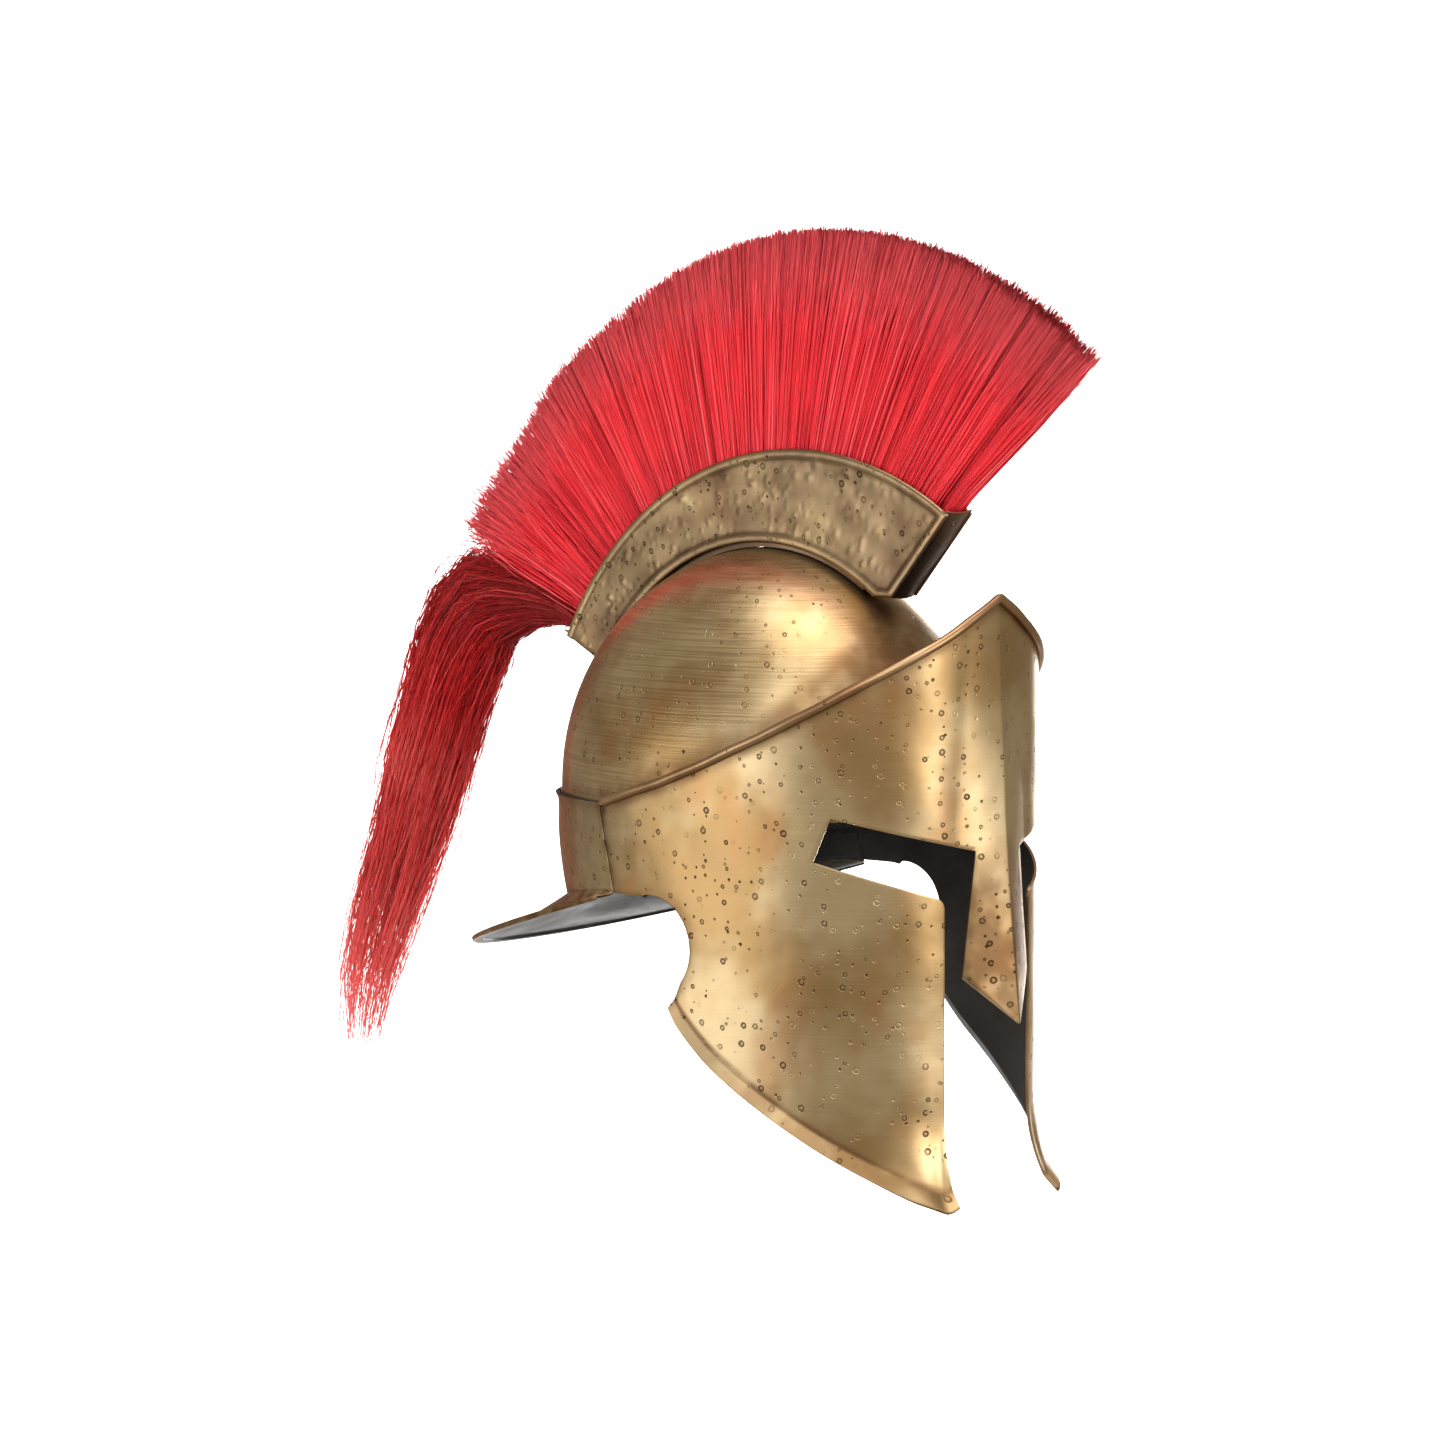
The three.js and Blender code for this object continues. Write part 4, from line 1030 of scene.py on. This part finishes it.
def strand_mesh(name, paths, thickness, tone, finish):
    """Three-sided strands: a turned triangle across the path at each point, drawn in at the tip.

    The piece's map holds each strand's tone and the share of the way along it.
    """
    count, steps = paths.shape[:2]
    ahead = unit(np.gradient(paths, axis=1))
    aside = unit(np.cross(ahead, unit(STRAND_GUIDE)))
    upward = np.cross(aside, ahead)
    turn = 2 * np.pi * (np.arange(3) / 3 + tone[:, None] * 5)[:, None, :, None]
    ring = np.cos(turn) * aside[:, :, None] + np.sin(turn) * upward[:, :, None]
    points = paths[:, :, None] + thickness[:, :, None, None] * ring
    strip = grid_faces(steps, 3, round_rows=True)
    first = (np.arange(count) * steps * 3)[:, None, None]
    ends = np.array([[2, 1, 0], [steps * 3 - 3, steps * 3 - 2, steps * 3 - 1]])
    sides = (strip[None] + first).reshape(-1, 4)
    caps = (ends[None] + first).reshape(-1, 3)
    length = np.tile(np.repeat(np.linspace(0, 1, steps), 3), count)
    return new_piece(name, points, [sides, caps], [finish], strand=[np.repeat(tone, steps * 3), length])


def make_brush(name, seed):
    """Length of upright hair: strands from the channel's floor to the cut line, each with a slight bow.

    Clumps pull the tips together, stand out or lie deeper, and end a little above or below the cut line.
    The front length keeps behind the end plate and has a groove, and the rear length grows loose.
    """
    root_from, root_to, tip_from, tip_to = BRUSH_LENGTHS[name]
    rng = np.random.default_rng(seed)
    count = BRUSH_STRANDS
    clumps = (BRUSH_CLUMPS, BRUSH_LAYERS)
    share = (np.arange(count) + rng.random(count)) / count
    depth = rng.uniform(-1, 1, count)
    clump = (share * BRUSH_CLUMPS + rng.normal(0, 0.35, count)).astype(int)
    clump = np.clip(clump, 0, BRUSH_CLUMPS - 1)
    layer = np.clip(((depth + 1) / 2 * BRUSH_LAYERS).astype(int), 0, BRUSH_LAYERS - 1)
    place_of_clump = (clump + 0.5 + rng.normal(0, 0.4, clumps)[clump, layer]) / BRUSH_CLUMPS
    taller = rng.normal(0, 1.3, clumps)[clump, layer]
    outward = rng.normal(0, 0.45, clumps)[clump, layer]
    deeper = 1 - 0.35 * (rng.random(clumps) < 0.2)[clump, layer]
    loose = np.ones(count) if name != "rear" else 1 + 2.4 * ease(share, 0.3, 1)
    tip_share = share + 0.35 * (place_of_clump - share) + rng.normal(0, 0.017, count) * loose
    root = np.radians(root_from + (root_to - root_from) * share)
    tip = np.radians(tip_from + (tip_to - tip_from) * tip_share)
    cut = along(BRUSH_CUT, np.degrees(tip)) + 0.4
    length = cut + (taller - np.abs(rng.normal(0, 2.0, count))) * loose - 12 * (rng.random(count) < 0.05)
    t = BRUSH_STEPS
    start = holder_bottom(root) + (BRUSH_ROOT - HOLDER_BOTTOM)
    radius = start[:, None] + (length - start)[:, None] * t
    angle = root[:, None] + (tip - root)[:, None] * t**1.15
    angle = angle + (rng.normal(0, 0.006, count) * loose)[:, None] * np.sin(np.pi * t)
    groove = 0 * share
    if name == "front":
        angle[:, :2] = np.maximum(angle[:, :2], math.radians(HOLDER_FRONT + BRUSH_BEHIND_PLATE))
        groove = 0.5 * np.exp(-(((share - 0.075) / 0.022) ** 2))
    half = (7.2 + 3.4 * t**1.3) * ((1 - groove) * deeper)[:, None]
    side = depth[:, None] * half + (outward * np.abs(depth))[:, None] * t**2
    thickness = BRUSH_THICKNESS * rng.uniform(0.75, 1.25, (count, 1))
    tone = 0.52 + rng.normal(0, 0.1, clumps)[clump, layer] + rng.normal(0, 0.22, count)
    paths = crest_point(side, angle, radius)
    piece = strand_mesh(f"crest_hair_{name}", paths, thickness, np.clip(tone, 0, 1), brush_red)
    place(piece, "brush_hair", f"crest_brush_{name}")


def make_tail(name, seed):
    """Loose tail: strands that keep their place in the tail's sections, wave in locks and gather in wisps.

    That place is a point of a disc. It sways with its lock by a sine of the length run, and nears the
    middle of its wisp with the cube of that length. Stray ends leave by the fourth power.
    """
    rng = np.random.default_rng(seed)
    count = TAIL_STRANDS
    table = np.array(TAIL, float)
    run = np.concatenate([[0], np.cumsum(np.hypot(np.diff(table[:, 0]), np.diff(table[:, 1])))])
    rows = [np.stack([run, column], -1) for column in table.T]
    reach = TAIL_SHORTEST + (1 - TAIL_SHORTEST) * rng.random(count) ** 3.0
    t = np.linspace(0, 1, TAIL_STEPS)
    at = reach[:, None] * t * run[-1]
    behind, height, half_depth, half_width = (along(row, at) for row in rows)
    ahead_y, ahead_z = (along(row, at + 1) - along(row, at - 1) for row in rows[:2])
    norm = np.hypot(ahead_y, ahead_z)
    spin = rng.uniform(0, 2 * np.pi, count)
    out = np.sqrt(rng.random(count))
    lock = rng.integers(0, TAIL_LOCKS, count)
    phase = rng.uniform(0, 2 * np.pi, (TAIL_LOCKS, 2))[lock] + rng.normal(0, 0.25, (count, 2))
    sway = rng.normal(0, 0.16, (TAIL_LOCKS, 2))[lock]
    wisp = (np.floor(spin / (2 * np.pi) * TAIL_WISPS) + 0.5) / TAIL_WISPS * 2 * np.pi
    gather = 0.85 * (at / run[-1]) ** 3
    swell = np.minimum(at / 130, 1)
    across, depth = (
        (0.88 * out * turn(spin))[:, None] * (1 - gather) + 0.7 * turn(wisp)[:, None] * gather
        + swell * sway[:, k, None] * np.sin(at / (TAIL_SWAY - 8 * k) + phase[:, k, None])
        for k, turn in enumerate((np.cos, np.sin))
    )
    stray = rng.normal(0, 4.0, (count, 2, 1)) * (at[:, None] / run[-1]) ** 4
    across = half_width * across + stray[:, 0]
    depth = half_depth * depth + stray[:, 1]
    paths = np.stack([across, behind - ahead_z / norm * depth, height + ahead_y / norm * depth], -1)
    thickness = (0.3 - 0.17 * t**3) * rng.uniform(0.75, 1.25, (count, 1))
    tone = np.clip(0.5 + rng.normal(0, 0.14, TAIL_LOCKS)[lock] + rng.normal(0, 0.18, count), 0, 1)
    piece = strand_mesh(f"tail_hair_{name}", paths, thickness, tone, tail_red)
    place(piece, "tail_hair", "crest_tail")


make_skull_cap()
make_face_plate()
make_brow_bead()
make_nape_band()
make_neck_guard()
make_holder_side("left", 1)
make_holder_side("right", -1)
make_end_plate("front", HOLDER_FRONT - 0.1, 134.5, 193.5, -1.0)
make_end_plate("rear", HOLDER_REAR + 0.1, 128.0, 162.5, 1.0)
make_brush("front", 21)
make_brush("middle", 22)
make_brush("rear", 23)
make_tail("first", 11)
make_tail("second", 12)

# The bed and the channel's floor stay as packed, in dark brass
for name in ("crest_saddle", "crest_holder_floor"):
    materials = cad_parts[name].data.materials
    materials.clear()
    materials.append(hidden_brass)


# Camera and studio
right = Vector((math.cos(TURN), -math.sin(TURN), 0))
toward = Vector((-math.sin(TURN) * math.cos(RISE), -math.cos(TURN) * math.cos(RISE), math.sin(RISE)))
upward = toward.cross(right)
rim_centre = Vector((0, 0, -SEAT_HEIGHT * MM))


def make_camera():
    """Camera at the fitted place, looking at the point in the middle of the image."""
    aside = (IMAGE_WIDTH / 2 - RIM_CENTRE_PIXEL[0]) * PIXEL * MM
    rise = (RIM_CENTRE_PIXEL[1] - IMAGE_WIDTH / 2) * PIXEL * MM
    target = from_camera_side(aside, rise, 0)
    camera = bpy.data.objects.new("camera", bpy.data.cameras.new("camera"))
    bpy.context.scene.collection.objects.link(camera)
    camera.data.sensor_width = SENSOR_WIDTH
    camera.data.lens = SENSOR_WIDTH * DISTANCE / PIXEL / IMAGE_WIDTH
    camera.data.clip_end = SIGHT
    turn = Matrix((right, upward, toward)).transposed().to_4x4()
    camera.matrix_world = Matrix.Translation(target + DISTANCE * MM * toward) @ turn
    bpy.context.scene.camera = camera


def from_camera_side(aside, rise, near):
    """Place by metres from the rim's centre to the camera's right, up and towards it."""
    return rim_centre + aside * right + rise * upward + near * toward


def make_light(name, aside, rise, near, width, height, power, aim=(0, 0, 0)):
    """Soft box at a place given from the camera's side, turned to the helmet or to another aim."""
    light = bpy.data.lights.new(name, "AREA")
    light.shape = "RECTANGLE"
    light.size = width
    light.size_y = height
    light.energy = power
    box = bpy.data.objects.new(name, light)
    bpy.context.scene.collection.objects.link(box)
    box.location = from_camera_side(aside, rise, near)
    box.rotation_euler = (box.location - from_camera_side(*aim)).to_track_quat("Z", "Y").to_euler()
    box.visible_camera = False


def make_studio():
    """Pale floor that sweeps up all round, unseen in reflections, and the room's even light."""
    radius, height = np.array(FLOOR, float).T
    turn = np.linspace(0, 2 * np.pi, FLOOR_COLUMNS, endpoint=False)
    turn, row = np.meshgrid(turn, np.arange(len(FLOOR)), indexing="ij")
    points = np.stack([radius[row] * np.cos(turn), radius[row] * np.sin(turn), height[row]], -1)
    f = Finish("pale_floor_paper")
    f.feed(f.shader, "Base Color", f.blend(f.noise(f.place(), 3, 0, 0.5), *FLOOR_TONES))
    f.feed(f.shader, "Roughness", 0.9)
    faces = grid_faces(FLOOR_COLUMNS, len(FLOOR), round_columns=True)
    floor = new_piece("studio_floor", points, [faces], [f.material])
    floor.visible_glossy = False
    world = bpy.data.worlds.new("studio")
    bpy.context.scene.world = world
    world.use_nodes = True
    back = world.node_tree.nodes["Background"]
    back.inputs[0].default_value = (*ROOM_TONE, 1)
    back.inputs[1].default_value = 1.0


make_camera()
make_studio()
for name, row in LIGHTS.items():
    make_light(name, *row)

bpy.context.scene.view_settings.view_transform = "Standard"
